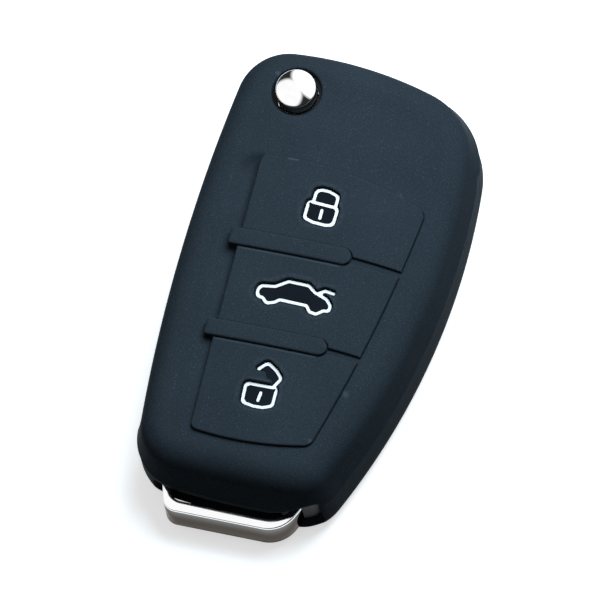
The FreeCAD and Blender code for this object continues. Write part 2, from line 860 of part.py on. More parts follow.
def make_cell():
    """The coin cell: a turned can with its smaller face towards the board."""
    radius = cell_diameter / 2
    rim = cell_thickness - cell_cap_height
    profile = Part.Face(Part.makePolygon([
        V(0, 0, 0),
        V(radius - cell_edge, 0, 0),
        V(radius, 0, cell_edge),
        V(radius, 0, rim - cell_edge),
        V(radius - cell_edge, 0, rim),
        V(radius - cell_cap_inset, 0, rim),
        V(radius - cell_cap_inset, 0, cell_thickness),
        V(0, 0, cell_thickness),
        V(0, 0, 0),
    ]))
    cell = profile.revolve(V(0, 0, 0), V(0, 0, 1), 360)
    cell.translate(V(cell_centre.x, cell_centre.y, bay_floor))
    return cell


def strip(points, middle):
    """A bent metal strip: a closed profile across the part, given its width along y."""
    face = Part.Face(Part.makePolygon(points + points[:1]))
    solid = face.extrude(V(0, contact_width, 0))
    solid.translate(V(0, middle - contact_width / 2, 0))
    return solid


def make_contacts():
    """The two battery contacts, hanging from the board: one at the can's side, one on its small face."""
    side = cell_centre.x + cell_diameter / 2 + spring_gap
    side_low = bay_floor + cell_edge
    plus = strip([
        V(side, 0, side_low),
        V(side + contact_thickness, 0, side_low),
        V(side + contact_thickness, 0, board_low),
        V(side - contact_foot, 0, board_low),
        V(side - contact_foot, 0, board_low - contact_thickness),
        V(side, 0, board_low - contact_thickness),
    ], cell_centre.y)
    top = bay_floor + cell_thickness
    spine = cell_centre.x - contact_foot
    minus = strip([
        V(spine, 0, top),
        V(spine + contact_foot, 0, top),
        V(spine + contact_foot, 0, top + contact_thickness),
        V(spine + contact_thickness, 0, top + contact_thickness),
        V(spine + contact_thickness, 0, board_low - contact_thickness),
        V(spine + contact_foot, 0, board_low - contact_thickness),
        V(spine + contact_foot, 0, board_low),
        V(spine, 0, board_low),
    ], cell_centre.y)
    return plus, minus


def make_transponder():
    """The transponder chip on the head's floor beside the blade slot: the largest kind that fits there."""
    left = head_bay_left + transponder_gap
    low = head_split + case_wall + transponder_gap
    bay = head_bay()
    chips = []
    for length, width in transponder_sizes:
        chip = block((left, left + width), (low, low + length), (bay_floor, bay_floor + transponder_height))
        chip = chip.makeFillet(transponder_gap, edges_along(chip, V(0, 0, 1)))
        if not chip.cut(bay).Solids:
            chips.append(chip)
    return max(chips, key=lambda chip: chip.Volume)


def build():
    """Every sub-part by its name."""
    key = pebble(key_inset).cut(trough_tool(key_inset))
    parts = {"silicone_cover": make_cover()}
    parts["head_front_case"], parts["head_rear_case"] = make_head(key)
    parts["remote_front_case"], parts["remote_rear_cover"] = make_remote(key)
    for name, pad, cap, place in zip(button_names, make_pads(), make_caps(), button_places):
        parts[name + "_pad"] = pad
        parts[name + "_key_cap"] = cap
        parts[name + "_switch"] = make_switch(place)
        parts[name + "_plunger"] = upright(plunger_diameter / 2, cap_low - plunger_length, cap_low, place)
    parts["release_button"] = make_release_button()
    parts["release_spring"], parts["flip_spring"] = make_springs()
    parts["blade_carrier"] = make_carrier()
    parts["key_blade"] = make_blade()
    parts["blade_pin"] = upright(pin_diameter / 2, hub_low, hub_high, pin_place())
    parts["ring_bail"] = make_bail()
    parts["circuit_board"] = make_board()
    parts["controller_chip"], parts["crystal_can"], parts["antenna_coil"] = make_board_parts()
    parts["coin_cell"] = make_cell()
    parts["battery_contact_plus"], parts["battery_contact_minus"] = make_contacts()
    parts["transponder_chip"] = make_transponder()
    parts["case_screws"] = Part.makeCompound([screw(place, 0) for place in screw_places()])
    return parts


# The finished part stands with its overall box centred on the origin, so the bail's reach is shared out
parts = build()
head_limit = parts["silicone_cover"].optimalBoundingBox().YMax
tail_limit = parts["ring_bail"].optimalBoundingBox().YMin
middle = (head_limit + tail_limit) / 2
os.makedirs("parts", exist_ok=True)
for name, shape in parts.items():
    shape.translate(V(0, -middle, 0))
    shape.exportStep(f"parts/{name}.step")
    solids = len(shape.Solids)
    print(f"{name}: {solids} solid(s), valid {shape.isValid()}, {shape.Volume:.1f} mm3")
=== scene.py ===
import json
import math

import bmesh
import bpy
import numpy as np
from mathutils import Matrix, Vector
from mathutils.geometry import delaunay_2d_cdt


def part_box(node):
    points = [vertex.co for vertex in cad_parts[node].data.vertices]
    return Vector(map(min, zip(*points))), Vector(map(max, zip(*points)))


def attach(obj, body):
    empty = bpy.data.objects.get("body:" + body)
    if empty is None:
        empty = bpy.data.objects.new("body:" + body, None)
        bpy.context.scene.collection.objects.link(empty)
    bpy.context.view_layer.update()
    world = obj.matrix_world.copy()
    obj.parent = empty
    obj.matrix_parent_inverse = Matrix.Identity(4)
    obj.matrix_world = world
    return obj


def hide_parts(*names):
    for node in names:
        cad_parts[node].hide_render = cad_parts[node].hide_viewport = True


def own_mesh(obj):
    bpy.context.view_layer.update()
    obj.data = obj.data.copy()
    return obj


# Lengths are millimetres until a mesh is made. As in the solids' own drawing, y is counted from the
# cover's middle, which is the origin below.
MM = 0.001

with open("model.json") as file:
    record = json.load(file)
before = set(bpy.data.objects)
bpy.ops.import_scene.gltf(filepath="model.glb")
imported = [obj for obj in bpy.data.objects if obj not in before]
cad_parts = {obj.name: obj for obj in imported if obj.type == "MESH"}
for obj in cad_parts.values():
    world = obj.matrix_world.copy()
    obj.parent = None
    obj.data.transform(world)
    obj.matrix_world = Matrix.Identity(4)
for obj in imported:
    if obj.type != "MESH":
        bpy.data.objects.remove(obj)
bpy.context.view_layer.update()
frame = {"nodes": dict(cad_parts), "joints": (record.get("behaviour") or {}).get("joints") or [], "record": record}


def node_box(node):
    """Lowest and highest corner of a solid in the frame, in millimetres."""
    return [np.array(corner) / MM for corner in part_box(node)]


cover_low, cover_high = node_box("silicone_cover")
origin = np.array((0, (cover_low[1] + cover_high[1]) / 2, 0))
half_width = (cover_high[0] - cover_low[0]) / 2
half_length = (cover_high[1] - cover_low[1]) / 2
joints = {joint["name"]: joint for joint in frame["joints"]}
pivot = np.array(joints["blade_flip"]["pos_m"])[:2] / MM - origin[:2]

# Cover form: each side is an arc, given by its radius and where along the side it touches the cover's box
left_radius, left_touch = 265.0, -5.8
top_radius, top_touch = 64.0, -5.8
right_radius, right_touch = 112.0, 12.4
bottom_radius, bottom_touch = 120.0, 0.0
corner_radii = (9.1, 12.7, 7.0, 8.5)
cover_thickness = 17.5
cover_wall = 1.5
parting_height = 8.75
front_draft = math.radians(12)
front_round = 4.5
back_round = 3.5
crown_radius = 160.0
draft_length = 4.8
front_length = 6.0
rim_share = 0.45
flash_rise = 0.05
flash_half = 0.09

# Panel, ridges and trough
panel_inset, panel_drop = 10.05, 19.3
panel_left = panel_inset - half_width
panel_top = half_length - panel_drop
window_gap = 0.05
window_round = 0.15
pad_rise = 0.6
pad_round = 0.22
ridge_places = (3.0, -12.3)
ridge_width = 2.74
ridge_length = 19.35
ridge_overhang = 1.35
ridge_top = 1.15
ridge_round = 0.3
ridge_corner = 0.35
ridge_step = 0.04
trough_radius = 4.3
trough_depth = 1.6
trough_offset = 0.3
inner_trough_depth = 1.1
inner_trough_offset = 1.6
trough_start = 3.6
trough_length = 46.0
trough_soft = 0.54
trough_least_soft = 0.02

# Release button and the dished hole it stands in
hole_radius = 3.9
hole_round = 0.3
dish_radius = 5.4
dish_depth = 0.5
dish_soft = 0.12
button_rim = 0.35
spring_wire = 0.5
spring_turns = 4.25

# Openings in the cover's wall
blade_slot_heights = (5.9, 11.6)
blade_slot_tail = -27.5
blade_slot_head = 1.4
blade_slot_corner = 0.8
bail_slot_heights = (1.6, 7.2)
bail_slot_left = -16.6
bail_slot_right = 10.6
bail_slot_corner = 1.6
leg_hole_rise = 3.1
leg_hole_width = 2.9
leg_hole_ramp = 5.0
slot_round = 0.3

# Ring bail: its bar's ends, how far out it stands, and its flared legs
bail_ends = (-13.8, 4.9)
bail_flares = (math.tan(math.radians(15)), math.tan(math.radians(24)))
bail_corners = (2.3, 5.0)
bail_inner_corners = (2.2, 4.2)
bail_reach = 2.89
bail_lean = 0.45
bail_bar = 1.8
bail_leg = 1.2
bail_round = 0.28

# View of the photograph: direction from the object, turn of the picture, pixels per millimetre, and the
# picture's middle in pixels from the cover's middle
view_way = (0.18224, -0.32557, 0.92779)
view_roll = 15.0
view_distance = 0.6
picture_size = 600
picture_scale = 6.5
picture_middle = (-16.93, 9.84)

# Studio: soft lights as (direction, brightness by how squarely a direction meets it), and the floor
soft_lights = [
    ((0.45, 0.75, 0.45), [(0.0, 0.01), (0.55, 0.02), (0.67, 1.0)]),
    ((-0.50, -0.12, 0.86), [(0.0, 0.01), (0.67, 0.02), (0.78, 0.85)]),
]
world_seen = 1.3
world_fill = 0.35
head_lamp_place = (0.055, 0.10, 0.22)
head_lamp_size = 0.16
head_lamp_watts = 0.84
head_lamp_colour = (0.73, 0.89, 1.0)
floor_reach = 2.0
floor_drop = 0.0001
floor_glow = 0.6
floor_dark = 0.12
floor_white = 0.9
floor_tone = 0.01
floor_grain = 40
floor_rough = 0.9

# Moulded finishes: darkest and lightest colour, roughness, grains to the metre, the grain's strength, gloss,
# and the colour of dust and of the painted highlight on convex edges if there is any
moulded_looks = {
    "silicone": ((0.0205, 0.0278, 0.035), (0.0248, 0.033, 0.041), 0.45, 7000, 0.35, 0.002,
                 (0.09, 0.115, 0.14)),
    # The next finish is painted shade: a darker rubber laid on the sunk floor inside the icons
    "icon_painted_shade": ((0.008, 0.010, 0.013), (0.011, 0.014, 0.018), 0.5, 7000, 0.2, 0.008, None),
    "icon_paint": ((0.93, 0.93, 0.93), (0.97, 0.97, 0.97), 0.5, 5000, 0.2, 0.5, None),
    "case_plastic": ((0.012, 0.012, 0.013), (0.02, 0.02, 0.021), 0.45, 3500, 0.3, 0.1, None),
    "key_rubber": ((0.02, 0.02, 0.021), (0.03, 0.03, 0.03), 0.65, 3000, 0.3, 0.1, None),
    "carrier_metal": ((0.045, 0.045, 0.05), (0.055, 0.055, 0.06), 0.36, 2500, 0.25, 0.5, None),
    "plunger_plastic": ((0.09, 0.09, 0.09), (0.11, 0.11, 0.11), 0.4, 3000, 0.1, 0.5, None),
    "board": ((0.016, 0.12, 0.05), (0.024, 0.16, 0.07), 0.35, 1800, 0.15, 0.5, None),
    "chip": ((0.012, 0.012, 0.013), (0.02, 0.02, 0.02), 0.6, 4000, 0.2, 0.5, None),
}
drift_grain = 90
drift_places = (0.3, 0.7)
fine_detail = 2.0
rough_places = (0.2, 0.8)
rough_spread = 0.06
grain_height = 0.00005
speck_grain = 8500
speck_detail = 1.0
speck_stops = [(0.58, 0.0), (0.8, 0.6)]
# Lightening of convex edges by pointiness: a painted highlight, in the dust colour
edge_dust_and_highlight_stops = [(0.53, 0.0), (0.62, 0.3)]

# Metal finishes: darkest and lightest colour, roughness, spread of the marks along each axis, and the
# marks' strength
metal_looks = {
    "chrome": ((0.86, 0.86, 0.87), (0.92, 0.92, 0.92), 0.05, (1, 1, 1), 0.02),
    "blade_steel": ((0.52, 0.52, 0.52), (0.66, 0.66, 0.65), 0.24, (1, 0.04, 1), 0.2),
    "spring_steel": ((0.46, 0.46, 0.48), (0.54, 0.54, 0.56), 0.3, (1, 1, 1), 0.1),
    "switch_metal": ((0.6, 0.6, 0.6), (0.7, 0.7, 0.7), 0.25, (0.1, 1, 1), 0.1),
    "cell_steel": ((0.6, 0.6, 0.59), (0.72, 0.72, 0.7), 0.2, (1, 0.1, 1), 0.05),
}
mark_grain = 900
mark_height = 0.00002
smudge_grain = 160
smudge_shares = (0.7, 1.4)

# Bail plating: colours from the back up as shares of its height, a painted dark reflection that grows towards the
# back, and its smudged polish
painted_reflection_stops = [(0.0, (0.035, 0.03, 0.026)), (0.5, (0.1, 0.092, 0.085)), (0.92, (0.2, 0.192, 0.185)),
                 (0.955, (0.88, 0.88, 0.88))]
plating_edge_tint = (0.6, 0.58, 0.56, 1)
plating_grain = 400
plating_roughness = (0.06, 0.14)
plating_strength = 0.03

# Inputs and output of a colour mix
mix_factor, mix_first, mix_second, mix_result = 0, 6, 7, 2

# Mesh fineness: longest steps, spacing of fill points, and numbers of points
edge_step = 0.3
slot_step = 0.5
arc_step = 0.15
arc_least = 3
stroke_step = 0.1
front_grid = 0.5
back_grid = 3.0
pad_grid = 0.6
column_count = 331
round_rows = 8
wall_rows = 6
round_points = 96
ridge_tip_points = 19
ridge_corner_points = 5
stroke_end_points = 18
dome_points = 14
dome_rim_points = 9
spring_turn_points = 36
spring_sides = 12
bail_points = 160
bail_edge_points = 6

# Rings of mesh points, as distances from an edge
slot_rings = (0.06, 0.16, slot_round)
window_rings = (0.05, window_round, 0.4)
ridge_rings = (-ridge_step, 0, 0.05, 0.14, ridge_round, 0.65)
dish_rings = (0.06, 0.16, hole_round, 0.7, 1.0, 1.25, 1.5, 1.75, 2.0, 2.3)
pad_rings = (0.035, 0.1, pad_round, 0.5)
mitre_share = 0.93

# Room that fill points leave round edges
flash_room = 0.3
slot_room = 0.12
rim_room = 0.25
rim_grid_room = 0.3
window_grid_room = 0.62
ridge_grid_room = (-0.3, 0.85)
ridge_ring_room = 0.02
hole_grid_room = 2.6
back_grid_room = 1.0
pad_grid_room = 0.75
groove_grid_room = 0.25

# Places where the cover's mesh is cut open and its openings are looked for
right_arc = 4
seam_share = 0.45
search_points = 8000
tail_share = 0.8

# Tolerances in millimetres
least_length = 1e-6
level_tolerance = 1e-3
stroke_tolerance = 0.002
inlay_tolerance = 0.004
button_tolerance = 0.01
flange_clear = 0.1
stroke_apart = 0.03
least_corner = 0.02
corner_digits = 4

# Half a corner's angle from which it counts as straight, and rounds of settling the edge's ball
straight_half = 1.55
ball_rounds = 6

# Cleaning of finished meshes, in metres, and the angle of their sharp edges
weld_distance = 2e-7
sliver_distance = 1e-8
sharp_angle = math.radians(38)

# Icons, in millimetres from the cover's middle: lists of (closed, corners)
lock_icon = [
    (True, [(-2.2, 11.0), (2.5, 10.75), (2.4, 7.9), (1.2, 7.65), (-0.75, 7.75), (-2.25, 8.2)]),
    (False, [(-1.5, 11.0), (-1.4, 12.9), (-0.45, 13.2), (0.6, 13.15), (2.1, 12.65), (2.1, 10.8)]),
    (False, [(0.15, 9.9), (0.15, 8.6)]),
]
boot_icon = [
    (True, [(-6.25, -5.75), (-6.35, -4.75), (-6.05, -4.0), (-3.8, -3.7), (-1.95, -2.5), (1.25, -2.55),
            (2.45, -3.45), (4.45, -4.15), (5.25, -5.0), (5.3, -6.0), (4.45, -6.05), (3.45, -6.85),
            (2.35, -6.7), (1.7, -5.8), (-2.65, -5.7), (-3.3, -6.25), (-4.55, -6.65), (-5.3, -5.85)]),
    (False, [(2.9, -3.55), (3.95, -2.85), (5.3, -3.05)]),
]
unlock_icon = [
    (True, [(-4.35, -20.05), (0.55, -20.0), (0.55, -22.95), (-0.85, -23.5), (-2.35, -23.55), (-4.2, -23.2)]),
    (False, [(-2.95, -17.4), (-1.8, -16.15), (-0.2, -17.2), (0.85, -18.3), (-0.05, -19.9)]),
    (False, [(-1.7, -21.2), (-1.85, -22.5)]),
]

# Icon lines: half widths of paint and groove, bend of the corners, and levels
paint_half = 0.23
groove_half = 0.5
groove_wall = 0.03
icon_bend = 0.55
icon_depth = 0.75
paint_thickness = 0.11
# Thickness of the sheet of painted shade on the icons' sunk floor
painted_shade_thickness = 0.03
paint_lift = 0.01


# Plan geometry

def unit(vector):
    return vector / np.linalg.norm(vector)


def unit_rows(vectors):
    return vectors / np.linalg.norm(vectors, axis=1)[:, None]


def ways(angles):
    """Plan directions at some angles."""
    return np.stack((np.cos(angles), np.sin(angles)), -1)


class Outline:
    """Four side arcs joined by tangent corner arcs, walked clockwise from the tail end of the left side."""

    def __init__(self, sides, corners):
        outward = np.array([(-1, 0), (0, 1), (1, 0), (0, -1)])
        hubs = []
        for side, corner in enumerate(corners):
            after = (side + 1) % 4
            (centre, radius), (next_centre, next_radius) = sides[side], sides[after]
            reach, next_reach = radius - corner, next_radius - corner
            span = np.linalg.norm(next_centre - centre)
            along = (reach ** 2 - next_reach ** 2 + span ** 2) / (2 * span)
            aside = math.sqrt(reach ** 2 - along ** 2)
            forward = unit(next_centre - centre)
            sideways = np.array((-forward[1], forward[0]))
            choices = [centre + forward * along + sideways * aside * sign for sign in (1, -1)]
            hubs.append(max(choices, key=(outward[side] + outward[after]).dot))
        arcs = []
        for side, (centre, radius) in enumerate(sides):
            start = unit(hubs[side - 1] - centre)
            bend = unit(hubs[side] - centre)
            end = unit(hubs[side] - sides[(side + 1) % 4][0])
            arcs.append((centre, radius, start, bend))
            arcs.append((hubs[side], corners[side], bend, end))
        self.hubs = np.array([arc[0] for arc in arcs])
        self.radii = np.array([arc[1] for arc in arcs])
        self.angles = np.array([math.atan2(arc[2][1], arc[2][0]) for arc in arcs])
        ends = np.array([math.atan2(arc[3][1], arc[3][0]) for arc in arcs])
        lengths = np.mod(self.angles - ends, 2 * math.pi) * self.radii
        self.sweeps = lengths / self.radii
        self.starts = np.concatenate(((0,), np.cumsum(lengths)[:-1]))
        self.length = lengths.sum()

    def locate(self, along):
        """Arc hubs, arc radii and outward directions at distances along the outline."""
        along = np.mod(along, self.length)
        arc = np.searchsorted(self.starts, along, side="right") - 1
        angle = self.angles[arc] - (along - self.starts[arc]) / self.radii[arc]
        return self.hubs[arc], self.radii[arc], ways(angle)

    def nearest(self, points):
        """Distance along the outline and inset from it, for plan points inside it."""
        away = points[:, None] - self.hubs
        turn = np.mod(self.angles - np.arctan2(away[..., 1], away[..., 0]), 2 * math.pi)
        insets = np.where(turn <= self.sweeps, self.radii - np.linalg.norm(away, axis=2), np.inf)
        arc = insets.argmin(1)
        place = np.arange(len(points))
        return self.starts[arc] + turn[place, arc] * self.radii[arc], insets[place, arc]


def resample(loop, spacing):
    """A closed loop with points added so that no step is longer than the spacing."""
    points = []
    for start, end in zip(loop, np.roll(loop, -1, 0)):
        steps = max(1, math.ceil(np.linalg.norm(end - start) / spacing))
        points.extend(start + (end - start) * step / steps for step in range(steps))
    return np.array(points)


def offset_loop(loop, distance):
    """A counter-clockwise loop moved outward."""
    ahead = unit_rows(np.roll(loop, -1, 0) - loop)
    normal = np.stack((ahead[:, 1], -ahead[:, 0]), -1)
    before = np.roll(normal, 1, 0)
    mitre = (normal + before) / (1 + (normal * before).sum(1))[:, None]
    return loop + mitre * distance


def segment_distance(points, starts, ends):
    """Distance from each point to the nearest of some segments."""
    nearest = np.full(len(points), np.inf)
    for start, end in zip(starts, ends):
        way = end - start
        share = np.clip((points - start) @ way / max(way @ way, least_length ** 2), 0, 1)
        gap = np.linalg.norm(points - start - share[:, None] * way, axis=1)
        nearest = np.minimum(nearest, gap)
    return nearest


def loop_depth(points, loop):
    """Distance from a closed loop, positive inside it."""
    ends = np.roll(loop, -1, 0)
    crossings = np.zeros(len(points), int)
    for start, end in zip(loop, ends):
        if start[1] == end[1]:
            continue
        spans = (start[1] > points[:, 1]) != (end[1] > points[:, 1])
        across = start[0] + (points[:, 1] - start[1]) * (end[0] - start[0]) / (end[1] - start[1])
        crossings += spans & (points[:, 0] < across)
    gap = segment_distance(points, loop, ends)
    return np.where(crossings % 2 == 1, gap, -gap)


def loop_area(loop):
    """Area of a closed loop, positive when it runs counter-clockwise."""
    ends = np.roll(loop, -1, 0)
    return (loop[:, 0] * ends[:, 1] - loop[:, 1] * ends[:, 0]).sum() / 2


def add_crossings(loop, values, level):
    """The loop with a point added wherever the values along it cross the level."""
    points = []
    for index, point in enumerate(loop):
        after = (index + 1) % len(loop)
        points.append(point)
        if (values[index] - level) * (values[after] - level) < 0:
            share = (level - values[index]) / (values[after] - values[index])
            points.append(point + (loop[after] - point) * share)
    return np.array(points)


def round_corners(corners, radii, closed=True):
    """A line through corners, each rounded to its radius or as far as its neighbours leave room."""
    points = []
    for index, (corner, radius) in enumerate(zip(corners, np.broadcast_to(radii, len(corners)))):
        before = corners[index - 1] - corner
        after = corners[(index + 1) % len(corners)] - corner
        room = min(np.linalg.norm(before), np.linalg.norm(after)) / 2
        before, after = unit(before), unit(after)
        half = math.acos(np.clip(before @ after, -1, 1)) / 2
        if half > straight_half or not closed and index in (0, len(corners) - 1):
            points.append(corner)
            continue
        reach = min(radius / math.tan(half), room)
        bend = reach * math.tan(half)
        middle = unit(before + after)
        hub = corner + middle * bend / math.sin(half)
        aside = np.array((-middle[1], middle[0]))
        spread = math.copysign(math.pi / 2 - half, before @ aside)
        steps = arc_least + math.ceil(abs(spread) * bend / arc_step)
        for turn in np.linspace(spread, -spread, steps):
            points.append(hub + bend * (aside * math.sin(turn) - middle * math.cos(turn)))
    return np.array(points)


def at_height(plan, height):
    """Plan points lifted to one height, or to a height each."""
    return np.column_stack((plan, np.broadcast_to(height, len(plan))))


def circle(centre, radius, count):
    return centre + radius * ways(np.arange(count) * (2 * math.pi / count))


def fill_grid(low, high, step):
    """A staggered grid of plan points over a box."""
    rows = np.arange(low[1], high[1], step * math.sqrt(3) / 2)
    points = []
    for index, row in enumerate(rows):
        columns = np.arange(low[0] + (index % 2) * step / 2, high[0], step)
        points.append(np.stack((columns, np.full(len(columns), row)), -1))
    return np.concatenate(points)


class Sheet:
    """Points in a plane, some of them on loops whose edges are kept, to be triangulated."""

    def __init__(self):
        self.parts = []
        self.loops = []
        self.count = 0

    def add(self, points):
        numbers = list(range(self.count, self.count + len(points)))
        self.parts.append(np.asarray(points))
        self.count += len(points)
        return numbers

    def add_loop(self, points):
        self.loops.append(self.add(points))
        return self.loops[-1]

    def points(self):
        return np.concatenate(self.parts)

    def triangles(self):
        """Triangles inside the first loop and outside the others."""
        points = self.points()
        loops = [loop if loop_area(points[loop]) > 0 else loop[::-1] for loop in self.loops]
        flat = [Vector(point) for point in points]
        _, _, faces, sources, _, within = delaunay_2d_cdt(flat, [], loops, 0, least_length)
        faces = [face for face, owners in zip(faces, within) if owners == [0]]
        return np.array([[sources[corner][0] for corner in face] for face in faces])


def walls(loop, other):
    """Quads between two loops of point numbers."""
    return [(a, b, d, c) for a, b, c, d in zip(loop, loop[1:] + loop[:1], other, other[1:] + other[:1])]


def tube_faces(rings):
    """Quads between each ring of point numbers and the next."""
    return [face for here, there in zip(rings, rings[1:]) for face in walls(here, there)]


def two_skins(outer, inner, faces, loops):
    """Points and faces of two skins over the same triangles, joined by walls along some loops."""
    count = len(outer)
    joined = [tuple(face) for face in faces] + [tuple(face + count) for face in faces]
    for numbers in loops:
        joined += walls(numbers, [number + count for number in numbers])
    return np.concatenate((outer, inner)), joined


def new_object(name, data):
    thing = bpy.data.objects.new(name, data)
    bpy.context.scene.collection.objects.link(thing)
    return thing


def make_piece(name, points, faces, body, material):
    """A welded mesh object on a CAD body, from points in millimetres."""
    mesh = bpy.data.meshes.new(name)
    placed = (np.asarray(points) + origin) * MM
    mesh.from_pydata(placed.tolist(), [], [tuple(int(corner) for corner in face) for face in faces])
    shape = bmesh.new()
    shape.from_mesh(mesh)
    bmesh.ops.remove_doubles(shape, verts=shape.verts, dist=weld_distance)
    bmesh.ops.dissolve_degenerate(shape, edges=shape.edges, dist=sliver_distance)
    bmesh.ops.recalc_face_normals(shape, faces=shape.faces)
    shape.to_mesh(mesh)
    shape.free()
    mesh.shade_smooth()
    mesh.set_sharp_from_angle(angle=sharp_angle)
    mesh.materials.append(material)
    piece = new_object(name, mesh)
    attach(piece, body)
    return piece


def node_points(node):
    """A solid's mesh points, in millimetres from the cover's middle."""
    return np.array([vertex.co for vertex in frame["nodes"][node].data.vertices]) / MM - origin


def foot_outline(node):
    """The outline of a solid's lowest flat face in plan, counter-clockwise."""
    mesh = frame["nodes"][node].data
    points = node_points(node)
    low = points[:, 2].min()
    mesh.calc_loop_triangles()
    steps = set()
    for triangle in mesh.loop_triangles:
        corners = [tuple(points[vertex].round(corner_digits)) for vertex in triangle.vertices]
        if max(corner[2] for corner in corners) - low < level_tolerance:
            steps.update(zip(corners, corners[1:] + corners[:1]))
    after = {start: end for start, end in steps if (end, start) not in steps}
    loop = [next(iter(after))]
    while after[loop[-1]] != loop[0]:
        loop.append(after[loop[-1]])
    loop = np.array(loop)[:, :2]
    return loop if loop_area(loop) > 0 else loop[::-1]


# Surface heights

def lip(depth, radius):
    """How far a rounded edge drops at a depth in from it."""
    short = radius - np.clip(depth, 0, radius)
    return radius - np.sqrt(radius ** 2 - short ** 2)


def soft_positive(value, blend):
    """The value where it is positive, easing in over the blend on both sides of zero."""
    eased = (value + blend) ** 2 / (4 * blend)
    return np.where(value > blend, value, np.where(value < -blend, 0, eased))


def crown_height(x):
    return cover_thickness - crown_radius + np.sqrt(crown_radius ** 2 - x ** 2)


def trough_sink(x, y, form, depth, offset):
    """Depth of the long hollow beside the panel, deepest at its head end, in a form of known height."""
    across = panel_left - offset
    start = panel_top - trough_start
    run = np.maximum(start - y, 0) / trough_length
    room = trough_radius ** 2 - (x - across) ** 2 - np.maximum(y - start, 0) ** 2
    axis = crown_height(across) + trough_radius - depth * (1 - run)
    floor = axis - np.sqrt(np.maximum(room, 0))
    return soft_positive(form - floor, trough_soft * np.clip(1 - run, trough_least_soft, 1))


def dish_sink(x, y, form):
    """Depth of the shallow dish round the release button, in a form of known height."""
    ball = (dish_radius ** 2 + dish_depth ** 2) / (2 * dish_depth)
    away = (x - pivot[0]) ** 2 + (y - pivot[1]) ** 2
    floor = crown_height(pivot[0]) - dish_depth + ball - np.sqrt(np.maximum(ball ** 2 - away, 0))
    return soft_positive(form - floor, dish_soft)


def ridge_depth(points, row):
    """Distance from a finger ridge's outline, positive inside it."""
    half = ridge_width / 2
    left = panel_left - ridge_overhang
    tip = left + ridge_length - half
    x, y = points[:, 0], np.abs(points[:, 1] - ridge_places[row])
    out = np.stack((left + ridge_corner - x, y - half + ridge_corner), -1)
    bar = ridge_corner - np.linalg.norm(np.maximum(out, 0), axis=1) - np.minimum(out.max(1), 0)
    return np.where(x > tip, half - np.hypot(x - tip, y), bar)


def ridge_loop(row, inset):
    """A finger ridge's outline in plan, moved inward."""
    half = ridge_width / 2 - inset
    left = panel_left - ridge_overhang + inset
    tip = np.array((panel_left - ridge_overhang + ridge_length - ridge_width / 2, ridge_places[row]))
    bend = max(ridge_corner - inset, least_corner)
    end = tip + half * ways(np.linspace(-math.pi / 2, math.pi / 2, ridge_tip_points))
    corners = []
    for side, start in ((1, math.pi / 2), (-1, math.pi)):
        hub = np.array((left + bend, tip[1] + side * (half - bend)))
        corners.append(hub + bend * ways(start + np.linspace(0, math.pi / 2, ridge_corner_points)))
    return resample(np.concatenate([end] + corners), edge_step)


def ridges_depth(points):
    """Distance from the nearest finger ridge's outline, positive inside it."""
    return np.max([ridge_depth(points, row) for row in range(len(ridge_places))], axis=0)


# Cover

def cover_outline():
    sides = [
        (np.array((left_radius - half_width, left_touch)), left_radius),
        (np.array((top_touch, half_length - top_radius)), top_radius),
        (np.array((half_width - right_radius, right_touch)), right_radius),
        (np.array((bottom_touch, bottom_radius - half_length)), bottom_radius),
    ]
    return Outline(sides, corner_radii)


outline = cover_outline()
back_run = back_round * math.pi / 2
wall_run = back_run + parting_height - back_round
draft_run = wall_run + draft_length
rim_run = draft_run + rim_share * front_length


def ball_inset(height):
    """How far in from the outline the ball that rounds the front edge runs, by the height of its centre."""
    return front_round / math.cos(front_draft) + (height - parting_height) * math.tan(front_draft)


def ball_path(along):
    """Centre of the ball that rounds the front edge, at distances along the outline."""
    hub, radius, way = outline.locate(along)
    height = np.full(len(along), cover_thickness - front_round)
    for _ in range(ball_rounds):
        plan = hub + way * (radius - ball_inset(height))[:, None]
        drop = np.sqrt((crown_radius - front_round) ** 2 - plan[:, 0] ** 2)
        height = cover_thickness - crown_radius + drop
    return at_height(plan, height)


def wall_skin(along, run, depth):
    """Points of the cover's side, from its back (run 0) over the wall and round onto the crown.

    The depth is how far the points lie under the outer surface.
    """
    hub, radius, way = outline.locate(along)
    plan = hub + way * radius[:, None]
    under = depth[:, None]
    ball = ball_path(along)
    leaning = at_height(way * math.cos(front_draft), math.sin(front_draft))
    up = ball - (0, 0, cover_thickness - crown_radius)
    up[:, 1] = 0
    up = unit_rows(up)

    back_angle = np.clip(run / back_round, 0, math.pi / 2) - math.pi / 2
    back_way = at_height(way * np.cos(back_angle)[:, None], np.sin(back_angle))
    back_hub = at_height(hub + way * (radius - back_round)[:, None], back_round)
    back = back_hub + back_way * (back_round - under)

    wall = at_height(plan, back_round + run - back_run) - at_height(way, 0) * under

    share = (run - wall_run) / (draft_run - wall_run)
    touch = ball + leaning * front_round
    belt = at_height(plan, parting_height)
    draft = belt + (touch - belt) * share[:, None] - leaning * under

    turn = np.clip((run - draft_run) / front_length, 0, 1)
    spread = np.arccos(np.clip((leaning * up).sum(1), -1, 1))
    lean_part = np.sin((1 - turn) * spread) / np.sin(spread)
    up_part = np.sin(turn * spread) / np.sin(spread)
    normal = leaning * lean_part[:, None] + up * up_part[:, None]
    upright = np.clip(turn / rim_share, 0, 1)[:, None]
    inward = unit_rows(normal * (1 - upright) + np.array((0, 0, 1)) * upright)
    front = ball + normal * front_round - inward * under

    part = np.searchsorted((back_run, wall_run, draft_run), run, side="right")
    return np.choose(part[:, None], (back, wall, draft, front))


def front_form(points):
    """Height of the crowned front and its rounded edge over plan points."""
    along, inset = outline.nearest(points)
    _, _, way = outline.locate(along)
    ball = ball_path(along)
    reach = ball_inset(ball[:, 2]) - inset
    edge = ball[:, 2] + np.sqrt(np.maximum(front_round ** 2 - reach ** 2, 0))
    meets = front_round * ball[:, 0] * way[:, 0] / (crown_radius - front_round)
    return np.where(reach > meets, edge, crown_height(points[:, 0]))


